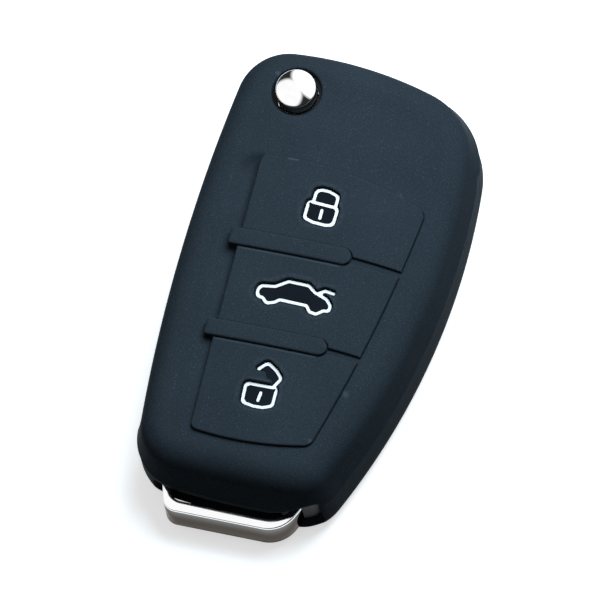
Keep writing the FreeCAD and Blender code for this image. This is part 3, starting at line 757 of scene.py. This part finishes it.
def run_at(along, height):
    """Run of the side's points that lie at a height on the wall or the back round."""
    touch = ball_path(along)[:, 2] + front_round * math.sin(front_draft)
    sine = np.clip(height / back_round - 1, -1, 0)
    low = back_round * (np.arcsin(sine) + math.pi / 2)
    middle = back_run + height - back_round
    high = wall_run + (draft_run - wall_run) * (height - parting_height) / (touch - parting_height)
    return np.where(height < back_round, low, np.where(height < parting_height, middle, high))


def slot_loop(corners, radius):
    """A rounded opening in the side: (along, run) points from counter-clockwise (along, height) corners."""
    loop = resample(round_corners(np.array(corners), radius), slot_step)
    return np.column_stack((loop[:, 0], run_at(loop[:, 0], loop[:, 1])))


def cover_slots(seam):
    """The openings for the blade and the ring bail, walked from a seam on the right side."""
    along = seam + np.linspace(0, outline.length, search_points)
    hub, radius, way = outline.locate(along)
    plan = hub + way * radius[:, None]
    head, left = plan[:, 1] > half_length / 2, plan[:, 0] < 0
    tail = plan[:, 1] < -half_length * tail_share

    def nearest(choice, axis, value):
        return along[choice][np.argmin(np.abs(plan[choice][:, axis] - value))]

    start, end = nearest(left & ~head, 1, blade_slot_tail), nearest(head, 0, blade_slot_head)
    low, high = blade_slot_heights
    blade_slot = slot_loop([(start, low), (end, low), (end, high), (start, high)], blade_slot_corner)

    right, left_end = nearest(tail, 0, bail_slot_right), nearest(tail, 0, bail_slot_left)
    flat = nearest(tail, 0, bail_slot_right - leg_hole_width)
    foot = nearest(tail, 0, bail_slot_right - leg_hole_width - leg_hole_ramp)
    low, high = bail_slot_heights
    top = high + leg_hole_rise
    corners = [(right, low), (left_end, low), (left_end, high), (foot, high), (flat, top), (right, top)]
    return [blade_slot, slot_loop(corners, bail_slot_corner)]


def side_depth(run, slot_depth):
    """How far the side's outer surface lies under its drawn form: the parting line stands proud of it."""
    fade = np.minimum(run / back_run, (rim_run - run) / (rim_run - draft_run))
    even = flash_rise * np.clip(fade, 0, 1)
    flash = flash_rise * np.clip(1 - np.abs(run - wall_run) / flash_half, 0, 1)
    return even - flash + lip(-slot_depth, slot_round)


def make_side(columns):
    """Points and faces of the cover's side, outside and inside, with its two openings."""
    start, end = columns[0], columns[-1]
    slots = cover_slots(start)
    runs = np.concatenate((
        np.linspace(0, back_run, round_rows)[:-1],
        np.linspace(back_run, wall_run - flash_room, wall_rows),
        wall_run + np.array((-flash_half, 0, flash_half)),
        np.linspace(wall_run + flash_room, draft_run, wall_rows)[:-1],
        np.linspace(draft_run, rim_run, round_rows),
    ))
    grid = np.array([(column, run) for run in runs for column in columns])
    edge_run = (grid[:, 1] == 0) | (grid[:, 1] == rim_run)
    room = np.min([-loop_depth(grid, slot) for slot in slots], axis=0)
    sheet = Sheet()
    sheet.add_loop([(start, 0), (end, 0), (end, rim_run), (start, rim_run)])
    sheet.add(grid[edge_run | (room > slot_round + slot_room)])
    slot_numbers = [sheet.add_loop(slot) for slot in slots]
    for slot in slots:
        for grow in slot_rings:
            sheet.add(offset_loop(slot, grow))
    points = sheet.points()
    along, run = points[:, 0], points[:, 1]
    slot_depth = np.max([loop_depth(points, slot) for slot in slots], axis=0)
    outer = wall_skin(along, run, side_depth(run, slot_depth))
    inner = wall_skin(along, run, np.full(len(points), cover_wall))
    return two_skins(outer, inner, sheet.triangles(), slot_numbers)


def make_front(columns, windows):
    """Points and faces of the cover's front inside its rounded edge, outside and inside."""
    hole = circle(pivot, hole_radius, round_points)
    count = len(columns) - 1
    rim = wall_skin(columns[:-1], np.full(count, rim_run), np.zeros(count))
    rim_plan = rim[:, :2]
    sheet = Sheet()
    rim_numbers = sheet.add_loop(rim_plan)
    hole_numbers = [sheet.add_loop(loop) for loop in windows + [hole]]

    def window_room(points):
        return np.min([-loop_depth(points, window) for window in windows], axis=0)

    for grow in window_rings:
        for window in windows:
            ring = offset_loop(window, grow)
            apart = (window_room(ring) > mitre_share * grow) & (ridges_depth(ring) < -2 * ridge_step)
            sheet.add(ring[apart])
    for row in range(len(ridge_places)):
        for inset in ridge_rings:
            ring = ridge_loop(row, inset)
            sheet.add(ring[window_room(ring) > ridge_ring_room])
    for grow in dish_rings:
        ring = circle(pivot, hole_radius + grow, round_points)
        sheet.add(ring[loop_depth(ring, rim_plan) > rim_room])
    grid = fill_grid(rim.min(0), rim.max(0), front_grid)
    high = ridges_depth(grid)
    clear = outline.nearest(grid)[1] > outline.nearest(rim_plan)[1].max() + rim_grid_room
    clear &= window_room(grid) > window_grid_room
    clear &= (high < ridge_grid_room[0]) | (high > ridge_grid_room[1])
    clear &= np.linalg.norm(grid - pivot, axis=1) > hole_radius + hole_grid_room
    sheet.add(grid[clear])

    points = sheet.points()
    x, y = points[:, 0], points[:, 1]
    form = front_form(points)
    form[rim_numbers] = rim[:, 2]
    dished = form - dish_sink(x, y, form)
    skin = dished - trough_sink(x, y, form, trough_depth, trough_offset)
    lining = dished - trough_sink(x, y, form, inner_trough_depth, inner_trough_offset) - cover_wall
    edge = lip(window_room(points), window_round) + lip(-loop_depth(points, hole), hole_round)
    depth = ridges_depth(points)
    raised = crown_height(x) + ridge_top - lip(depth, ridge_round)
    outer = at_height(points, np.where(depth > -ridge_step / 2, raised, skin - edge))
    return two_skins(outer, at_height(points, lining), sheet.triangles(), hole_numbers)


def make_back(columns):
    """Points and faces of the cover's flat back, outside and inside."""
    count = len(columns) - 1
    rim = wall_skin(columns[:-1], np.zeros(count), np.zeros(count))[:, :2]
    sheet = Sheet()
    sheet.add_loop(rim)
    grid = fill_grid(rim.min(0), rim.max(0), back_grid)
    sheet.add(grid[loop_depth(grid, rim) > back_grid_room])
    points = sheet.points()
    return two_skins(at_height(points, 0), at_height(points, cover_wall), sheet.triangles(), [])


def make_cover(windows, material):
    """The moulded silicone cover as one closed shell."""
    start, end = outline.starts[right_arc:right_arc + 2]
    seam = start + seam_share * (end - start)
    columns = seam + np.linspace(0, outline.length, column_count)
    points, faces, count = [], [], 0
    for part_points, part_faces in (make_side(columns), make_front(columns, windows), make_back(columns)):
        points.append(part_points)
        faces += [tuple(corner + count for corner in face) for face in part_faces]
        count += len(part_points)
    return make_piece("cover_skin", np.concatenate(points), faces, "key_in_cover", material)


# Pads and their icons

def icon_strokes(icon):
    return [(closed, round_corners(np.array(corners), icon_bend, closed)) for closed, corners in icon]


def stroke_segments(strokes):
    starts, ends = [], []
    for closed, stroke in strokes:
        starts.append(stroke if closed else stroke[:-1])
        ends.append(np.roll(stroke, -1, 0) if closed else stroke[1:])
    return np.concatenate(starts), np.concatenate(ends)


def within_strokes(points, strokes):
    """Which points lie inside a stroke that goes round, or nearly round, an area."""
    return np.any([loop_depth(points, stroke) > 0 for _, stroke in strokes if len(stroke) > 2], axis=0)


def stroke_points(starts, ends, distance):
    """Points all round the strokes at a distance from their middle lines."""
    points = []
    for start, end in zip(starts, ends):
        length = np.linalg.norm(end - start)
        share = np.linspace(0, 1, max(2, math.ceil(length / stroke_step)))[:, None]
        along = start + (end - start) * share
        aside = np.array((start[1] - end[1], end[0] - start[0])) / length
        points += [along + aside * distance, along - aside * distance]
        points += [circle(place, distance, stroke_end_points) for place in (start, end)]
    points = np.concatenate(points)
    points = points[np.abs(segment_distance(points, starts, ends) - distance) < stroke_tolerance]
    kept = []
    for point in points:
        if not kept or np.min(np.linalg.norm(np.array(kept) - point, axis=1)) > stroke_apart:
            kept.append(point)
    return np.array(kept)


def make_inlay(name, floor, faces, levels, body, material):
    """A thin closed layer over some faces of a floor, between two levels above it."""
    used, numbers = np.unique(faces, return_inverse=True)
    faces = numbers.reshape(faces.shape)
    low, high = (floor[used] + (0, 0, level) for level in levels)
    count = len(used)
    steps = [(a, b) for face in faces for a, b in zip(face, np.roll(face, -1))]
    known = set(steps)
    points, solid = two_skins(low, high, faces, [])
    solid += [(a, b, b + count, a + count) for a, b in steps if (b, a) not in known]
    make_piece(name, points, solid, body, material)


def make_pad(name, icon, outline_points, seat, body, rubber, painted_shade, paint):
    """A button pad with its sunk icon, a thin sheet of painted shade on the icon's sunk floor, and the paint of
    its lines.
    """
    edge = resample(outline_points, edge_step)
    strokes = icon_strokes(icon)
    starts, ends = stroke_segments(strokes)
    groove_floor, groove_top = groove_half - groove_wall, groove_half + groove_wall
    sheet = Sheet()
    edge_numbers = sheet.add_loop(edge)
    for inset in pad_rings:
        ring = offset_loop(edge, -inset)
        sheet.add(ring[loop_depth(ring, edge) > mitre_share * inset])
    for distance in (0, paint_half, groove_floor, groove_top):
        sheet.add(stroke_points(starts, ends, distance))
    grid = fill_grid(edge.min(0), edge.max(0), pad_grid)
    clear = loop_depth(grid, edge) > pad_grid_room
    clear &= segment_distance(grid, starts, ends) > groove_half + groove_grid_room
    sheet.add(grid[clear])
    faces = sheet.triangles()
    points = sheet.points()
    depth = np.maximum(loop_depth(points, edge), 0)
    depth[edge_numbers] = 0
    away = segment_distance(points, starts, ends)
    shut_in = np.where(within_strokes(points, strokes), 0, away)
    sunk = icon_depth * np.clip((groove_top - shut_in) / (2 * groove_wall), 0, 1)
    skin = crown_height(points[:, 0]) + pad_rise - lip(depth, pad_round)
    top, foot = at_height(points, skin - sunk), at_height(points, seat)
    pad_points, solid = two_skins(top, foot, faces, [edge_numbers])
    pad = make_piece(name + "_button_pad", pad_points, solid, body, rubber)
    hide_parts(name + "_pad")

    # A thin darker sheet over the sunk floor inside the icons' lines: painted shade
    floor = at_height(points, skin - icon_depth)
    shaded_faces = faces[(shut_in[faces] < groove_floor + inlay_tolerance).all(1)]
    make_inlay(name + "_icon_painted_shade", floor, shaded_faces, (paint_lift, painted_shade_thickness), body, painted_shade)
    paint_faces = faces[(away[faces] < paint_half + inlay_tolerance).all(1)]
    make_inlay(name + "_icon", floor, paint_faces, (paint_lift, paint_thickness), body, paint)


# Turned and bent metal

def make_release(material):
    """The domed chrome release button, turned about the pivot axis."""
    low, high = (corner[2] for corner in node_box("release_button"))
    points = node_points("release_button")
    away = np.linalg.norm(points[:, :2] - pivot, axis=1)
    flange = away.max()
    flange_levels = points[away > flange - button_tolerance][:, 2]
    flange_low, flange_high = flange_levels.min(), flange_levels.max()
    above = points[:, 2] > flange_high + flange_clear
    radius = away[above].max()
    shoulder = points[(away > radius - button_tolerance) & above][:, 2].max()
    dome = high - shoulder
    ball = (radius ** 2 + dome ** 2) / (2 * dome)
    rim_reach = radius - button_rim
    rim_height = high - ball + math.sqrt((ball - button_rim) ** 2 - rim_reach ** 2)
    top_turn = math.asin(rim_reach / (ball - button_rim))
    profile = [(ball * math.sin(turn), high - ball + ball * math.cos(turn))
               for turn in np.linspace(0, top_turn, dome_points)]
    profile += [(rim_reach + button_rim * math.sin(turn), rim_height + button_rim * math.cos(turn))
                for turn in np.linspace(top_turn, math.pi / 2, dome_rim_points)[1:]]
    profile += [(radius, flange_high), (flange, flange_high), (flange, flange_low), (radius, flange_low),
                (radius, low), (0, low)]
    rings = [at_height(circle(pivot, max(reach, least_length), round_points), height)
             for reach, height in profile]
    numbers = np.arange(len(profile) * round_points).reshape(len(profile), -1).tolist()
    button = make_piece("chrome_button", np.concatenate(rings), tube_faces(numbers), "release", material)
    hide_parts("release_button")


def make_release_spring(material):
    """The release button's coil spring, as one rigid coil; the real spring shortens as the button is pressed."""
    low, high = node_box("release_spring")
    length = high[2] - low[2]
    climb = length - spring_wire
    radius = (high[0] - low[0] - spring_wire) / 2
    count = round(spring_turns * spring_turn_points)
    steps = np.linspace(0, 1, count)
    sweep = spring_turns * 2 * math.pi
    turn = steps * sweep
    radial = at_height(ways(turn), 0)
    middle = radial * radius + np.array((*pivot, low[2] + spring_wire / 2))
    middle[:, 2] += steps * climb
    ahead = at_height(ways(turn + math.pi / 2), climb / (sweep * radius))
    across = np.cross(unit_rows(ahead), radial)
    rings = []
    for angle in np.arange(spring_sides) * 2 * math.pi / spring_sides:
        rings.append(middle + spring_wire / 2 * (radial * math.cos(angle) + across * math.sin(angle)))
    numbers = np.arange(spring_sides * count).reshape(spring_sides, count).T.tolist()
    faces = [tuple(numbers[0]), tuple(numbers[-1])] + tube_faces(numbers)
    spring = make_piece("button_spring", np.concatenate(rings), faces, "blade", material)
    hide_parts("release_spring")
    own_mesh(spring)


def inset_corners(corners, insets):
    """An open line's corners after each of its runs is moved to its left."""
    runs = []
    for before, after, inset in zip(corners, corners[1:], insets):
        way = unit(after - before)
        side = np.array((-way[1], way[0]))
        runs.append((before + side * inset, after + side * inset, way, side))
    moved = [runs[0][0]]
    for (place, _, way, _), (there, _, _, side) in zip(runs, runs[1:]):
        moved.append(place + way * ((there - place) @ side) / (way @ side))
    return np.array(moved + [runs[-1][1]])


def even_line(line, count):
    """Points evenly spaced along an open line."""
    lengths = np.concatenate(((0,), np.cumsum(np.linalg.norm(np.diff(line, axis=0), axis=1))))
    places = np.linspace(0, lengths[-1], count)
    return np.column_stack([np.interp(places, lengths, line[:, axis]) for axis in range(2)])


def bail_lines(height):
    """The bail's outer and inner face in plan at a share of its height."""
    head = node_box("ring_bail")[1][1] - origin[1]
    drawn_in = bail_lean * height
    bar = -half_length - bail_reach
    corners = np.array([
        (bail_ends[0] - (head - bar) * bail_flares[0], head),
        (bail_ends[0] - drawn_in * bail_flares[0], bar + drawn_in),
        (bail_ends[1] + drawn_in * bail_flares[1], bar + drawn_in),
        (bail_ends[1] + (head - bar) * bail_flares[1], head),
    ])
    inner = inset_corners(corners, (bail_leg, bail_bar, bail_leg))
    lines = (corners, bail_corners), (inner, bail_inner_corners)
    return [even_line(round_corners(line, (0, *radii, 0), False), bail_points) for line, radii in lines]


def make_bail(material):
    """The ring bail: a bent strip whose outer face leans, thicker along its bar than in its legs."""
    low, high = (corner[2] for corner in node_box("ring_bail"))
    quarter = np.linspace(0, math.pi / 2, bail_edge_points)[:-1]
    lines = []
    for start, (outside, upper) in enumerate(((True, True), (False, True), (False, False), (True, False))):
        for turn in quarter + start * math.pi / 2:
            height = (high - bail_round if upper else low + bail_round) + bail_round * math.sin(turn)
            outer, inner = bail_lines((height - low) / (high - low))
            thickness = np.linalg.norm(inner - outer, axis=1)
            depth = (bail_round if outside else thickness - bail_round) - bail_round * math.cos(turn)
            line = outer + (inner - outer) * (depth / thickness)[:, None]
            lines.append(at_height(line, height))
    numbers = np.arange(len(lines) * bail_points).reshape(len(lines), -1).T.tolist()
    faces = [tuple(numbers[0]), tuple(numbers[-1])] + tube_faces(numbers)
    bail = make_piece("ring_loop_bail", np.concatenate(lines), faces, "key_in_cover", material)
    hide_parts("ring_bail")


# Materials

class Shading:
    """The nodes of a material or a world, with short ways to add to them."""

    def __init__(self, owner):
        owner.use_nodes = True
        self.nodes, self.links = owner.node_tree.nodes, owner.node_tree.links

    def feed(self, node, inputs):
        """Link a node's inputs to other sockets, or set them to plain values."""
        for name, source in inputs.items():
            if isinstance(source, bpy.types.NodeSocket):
                self.links.new(source, node.inputs[name])
            else:
                node.inputs[name].default_value = source
        return node

    def noise(self, place, scale, detail=3.0):
        node = self.nodes.new("ShaderNodeTexNoise")
        return self.feed(node, {"Vector": place, "Scale": scale, "Detail": detail}).outputs["Fac"]

    def bump(self, height, strength, distance):
        node = self.nodes.new("ShaderNodeBump")
        inputs = {"Height": height, "Strength": strength, "Distance": distance}
        return self.feed(node, inputs).outputs["Normal"]

    def math(self, operation, first, second):
        node = self.nodes.new("ShaderNodeMath")
        node.operation = operation
        return self.feed(node, {0: first, 1: second}).outputs[0]

    def mix(self, factor, first, second, blend="MIX"):
        """A blend of two colours."""
        node = self.nodes.new("ShaderNodeMix")
        node.data_type = "RGBA"
        node.blend_type = blend
        inputs = {mix_factor: factor, mix_first: first, mix_second: second}
        return self.feed(node, inputs).outputs[mix_result]

    def ramp(self, value, stops):
        """A colour ramp from a value; stops gives (place, grey or colour)."""
        node = self.feed(self.nodes.new("ShaderNodeValToRGB"), {"Fac": value})
        elements = node.color_ramp.elements
        stops = list(stops)
        while len(elements) < len(stops):
            elements.new(0.5)
        for element, (place, colour) in zip(elements, stops):
            element.position = place
            element.color = (*colour, 1) if isinstance(colour, tuple) else (colour, colour, colour, 1)
        return node.outputs["Color"]

    def seen_directly(self):
        """A factor of 1 for what the camera, metal and glass see, and 0 for light on other things."""
        path = self.nodes.new("ShaderNodeLightPath").outputs
        factor = self.math("MAXIMUM", path["Is Camera Ray"], path["Is Glossy Ray"])
        return self.math("MAXIMUM", factor, path["Is Transmission Ray"])


class Finish(Shading):
    """A material's nodes, with its shader and the place that its patterns follow."""

    def __init__(self, name):
        self.material = bpy.data.materials.new(name)
        super().__init__(self.material)
        self.place = self.nodes.new("ShaderNodeTexCoord").outputs["Object"]

    def shade(self, inputs):
        self.feed(self.nodes["Principled BSDF"], inputs)
        return self.material


def moulded(name, dark, light, roughness, grain, strength, gloss, dust_and_highlight):
    """A moulded plastic or rubber: fine grain, slow colour drift and, given a colour, fine dust and painted edge
    highlights.
    """
    finish = Finish(name)
    colour = finish.ramp(finish.noise(finish.place, drift_grain), zip(drift_places, (dark, light)))
    fine = finish.noise(finish.place, grain, fine_detail)
    if dust_and_highlight:
        specks = finish.ramp(finish.noise(finish.place, speck_grain, speck_detail), speck_stops)
        # Pointiness lightens convex edges with the dust colour: a painted highlight along the edges, mixed with
        # real dust specks
        corner = finish.nodes.new("ShaderNodeNewGeometry").outputs["Pointiness"]
        edges = finish.ramp(corner, edge_dust_and_highlight_stops)
        colour = finish.mix(finish.math("MAXIMUM", specks, edges), colour, (*dust_and_highlight, 1))
    rough_ends = (roughness - rough_spread, roughness + rough_spread)
    return finish.shade({
        "Base Color": colour,
        "Roughness": finish.ramp(fine, zip(rough_places, rough_ends)),
        "Specular IOR Level": gloss,
        "Normal": finish.bump(fine, strength, grain_height),
    })


def metal(name, dark, light, roughness, spread, strength):
    """A metal with fine marks drawn out along one axis."""
    finish = Finish(name)
    mapping = finish.feed(finish.nodes.new("ShaderNodeMapping"), {"Vector": finish.place, "Scale": spread})
    marks = finish.noise(mapping.outputs["Vector"], mark_grain)
    smudge = finish.noise(finish.place, smudge_grain)
    rough_ends = [roughness * share for share in smudge_shares]
    return finish.shade({
        "Base Color": finish.ramp(marks, zip(drift_places, (dark, light))),
        "Roughness": finish.ramp(smudge, zip(drift_places, rough_ends)),
        "Metallic": 1.0,
        "Normal": finish.bump(marks, strength, mark_height),
    })


def plating_with_painted_reflection(name, low, high):
    """Bright plating whose colour is painted darker, a warm grey, below its upper edge and more so towards the
    back: a painted dark reflection.
    """
    finish = Finish(name)
    split = finish.feed(finish.nodes.new("ShaderNodeSeparateXYZ"), {"Vector": finish.place})
    heights = {"Value": split.outputs["Z"], "From Min": low * MM, "From Max": high * MM}
    level = finish.feed(finish.nodes.new("ShaderNodeMapRange"), heights)
    smudge = finish.noise(finish.place, plating_grain)
    return finish.shade({
        # Colour by height: a painted dark reflection below the upper edge
        "Base Color": finish.ramp(level.outputs["Result"], painted_reflection_stops),
        "Roughness": finish.ramp(smudge, zip(drift_places, plating_roughness)),
        "Metallic": 1.0,
        "Specular Tint": plating_edge_tint,
        "Normal": finish.bump(smudge, plating_strength, mark_height),
    })


finishes = {name: moulded(name, *look) for name, look in moulded_looks.items()}
finishes.update({name: metal(name, *look) for name, look in metal_looks.items()})
# The bail's plating, with a painted dark reflection towards its back
bail_plating_painted_reflection = plating_with_painted_reflection("bail_plating_painted_reflection", *(corner[2] for corner in node_box("ring_bail")))

for entry in frame["record"]["subparts"]:
    materials = frame["nodes"][entry["node"]].data.materials
    materials.clear()
    materials.append(finishes[entry["material_slot"]])

pads = {"lock": lock_icon, "boot": boot_icon, "unlock": unlock_icon}
pad_outlines = {name: foot_outline(name + "_pad") for name in pads}
pad_seat = node_box("lock_pad")[0][2]


def window_loop(points):
    """The window round a pad, with a point where it steps off a ridge."""
    loop = resample(offset_loop(points, window_gap), edge_step)
    for row in range(len(ridge_places)):
        loop = add_crossings(loop, ridge_depth(loop, row), -ridge_step)
    return loop


silicone = finishes["silicone"]
cover = make_cover([window_loop(points) for points in pad_outlines.values()], silicone)
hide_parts("silicone_cover")
for name, icon in pads.items():
    make_pad(name, icon, pad_outlines[name], pad_seat, name + "_button", silicone,
             finishes["icon_painted_shade"], finishes["icon_paint"])
make_release(finishes["chrome"])
make_release_spring(finishes["spring_steel"])
make_bail(bail_plating_painted_reflection)


# Floor, light and camera

def make_floor():
    """A white sheet whose own faint glow keeps the shadow on it light."""
    mesh = bpy.data.meshes.new("floor")
    sides = ((-1, -1), (1, -1), (1, 1), (-1, 1))
    corners = [(x * floor_reach, y * floor_reach, -floor_drop) for x, y in sides]
    mesh.from_pydata(corners, [], [(0, 1, 2, 3)])
    paper = Finish("floor_paper")
    tones = (floor_white - floor_tone, floor_white + floor_tone)
    tone = paper.ramp(paper.noise(paper.place, floor_grain), zip(drift_places, tones))
    seen = paper.seen_directly()
    mesh.materials.append(paper.shade({
        "Base Color": paper.mix(seen, (floor_dark, floor_dark, floor_dark, 1), tone),
        "Roughness": floor_rough,
        "Specular IOR Level": 0.0,
        "Emission Color": (1, 1, 1, 1),
        "Emission Strength": paper.math("MULTIPLY", seen, floor_glow),
    }))
    new_object("floor", mesh)


def add_lamp():
    """A square soft lamp over the head, so that the light falls off towards the tail."""
    lamp = bpy.data.lights.new("head_lamp", "AREA")
    lamp.size = head_lamp_size
    lamp.energy = head_lamp_watts
    lamp.color = head_lamp_colour
    light = new_object("head_lamp", lamp)
    facing = Vector(head_lamp_place).to_track_quat("Z", "Y").to_matrix().to_4x4()
    light.matrix_world = Matrix.Translation(head_lamp_place) @ facing
    light.visible_glossy = False


def make_camera():
    """A view without perspective along the photograph's viewing direction."""
    toward = unit(np.array(view_way))
    head_way = np.array((0.0, 1.0, 0.0))
    up = unit(head_way - head_way.dot(toward) * toward)
    right = np.cross(up, toward)
    roll = math.radians(view_roll)
    picture_right = right * math.cos(roll) + up * math.sin(roll)
    picture_up = -right * math.sin(roll) + up * math.cos(roll)
    aside, above = picture_middle
    centre = (picture_right * aside + picture_up * above) / picture_scale + origin
    camera_data = bpy.data.cameras.new("camera")
    camera_data.type = "ORTHO"
    camera_data.ortho_scale = picture_size / picture_scale * MM
    camera = new_object("camera", camera_data)
    place = centre * MM + toward * view_distance
    camera.matrix_world = Matrix([
        (picture_right[axis], picture_up[axis], toward[axis], place[axis]) for axis in range(3)
    ] + [(0, 0, 0, 1)])
    bpy.context.scene.camera = camera


def make_world():
    """Two broad soft lights, one behind the head and one over the tail, with a dark gap between them."""
    world = bpy.data.worlds.new("studio")
    sky = Shading(world)
    way = sky.nodes.new("ShaderNodeTexCoord").outputs["Generated"]
    total = None
    for aim, stops in soft_lights:
        facing = sky.nodes.new("ShaderNodeVectorMath")
        facing.operation = "DOT_PRODUCT"
        sky.feed(facing, {0: way, 1: unit(np.array(aim))})
        light = sky.ramp(facing.outputs["Value"], stops)
        total = sky.mix(1.0, total, light, "LIGHTEN") if total else light
    strengths = {"Value": sky.seen_directly(), "To Min": world_fill, "To Max": world_seen}
    strength = sky.feed(sky.nodes.new("ShaderNodeMapRange"), strengths)
    sky.feed(sky.nodes["Background"], {"Color": total, "Strength": strength.outputs["Result"]})
    bpy.context.scene.world = world


make_floor()
make_world()
add_lamp()
make_camera()
bpy.context.scene.view_settings.view_transform = "Standard"
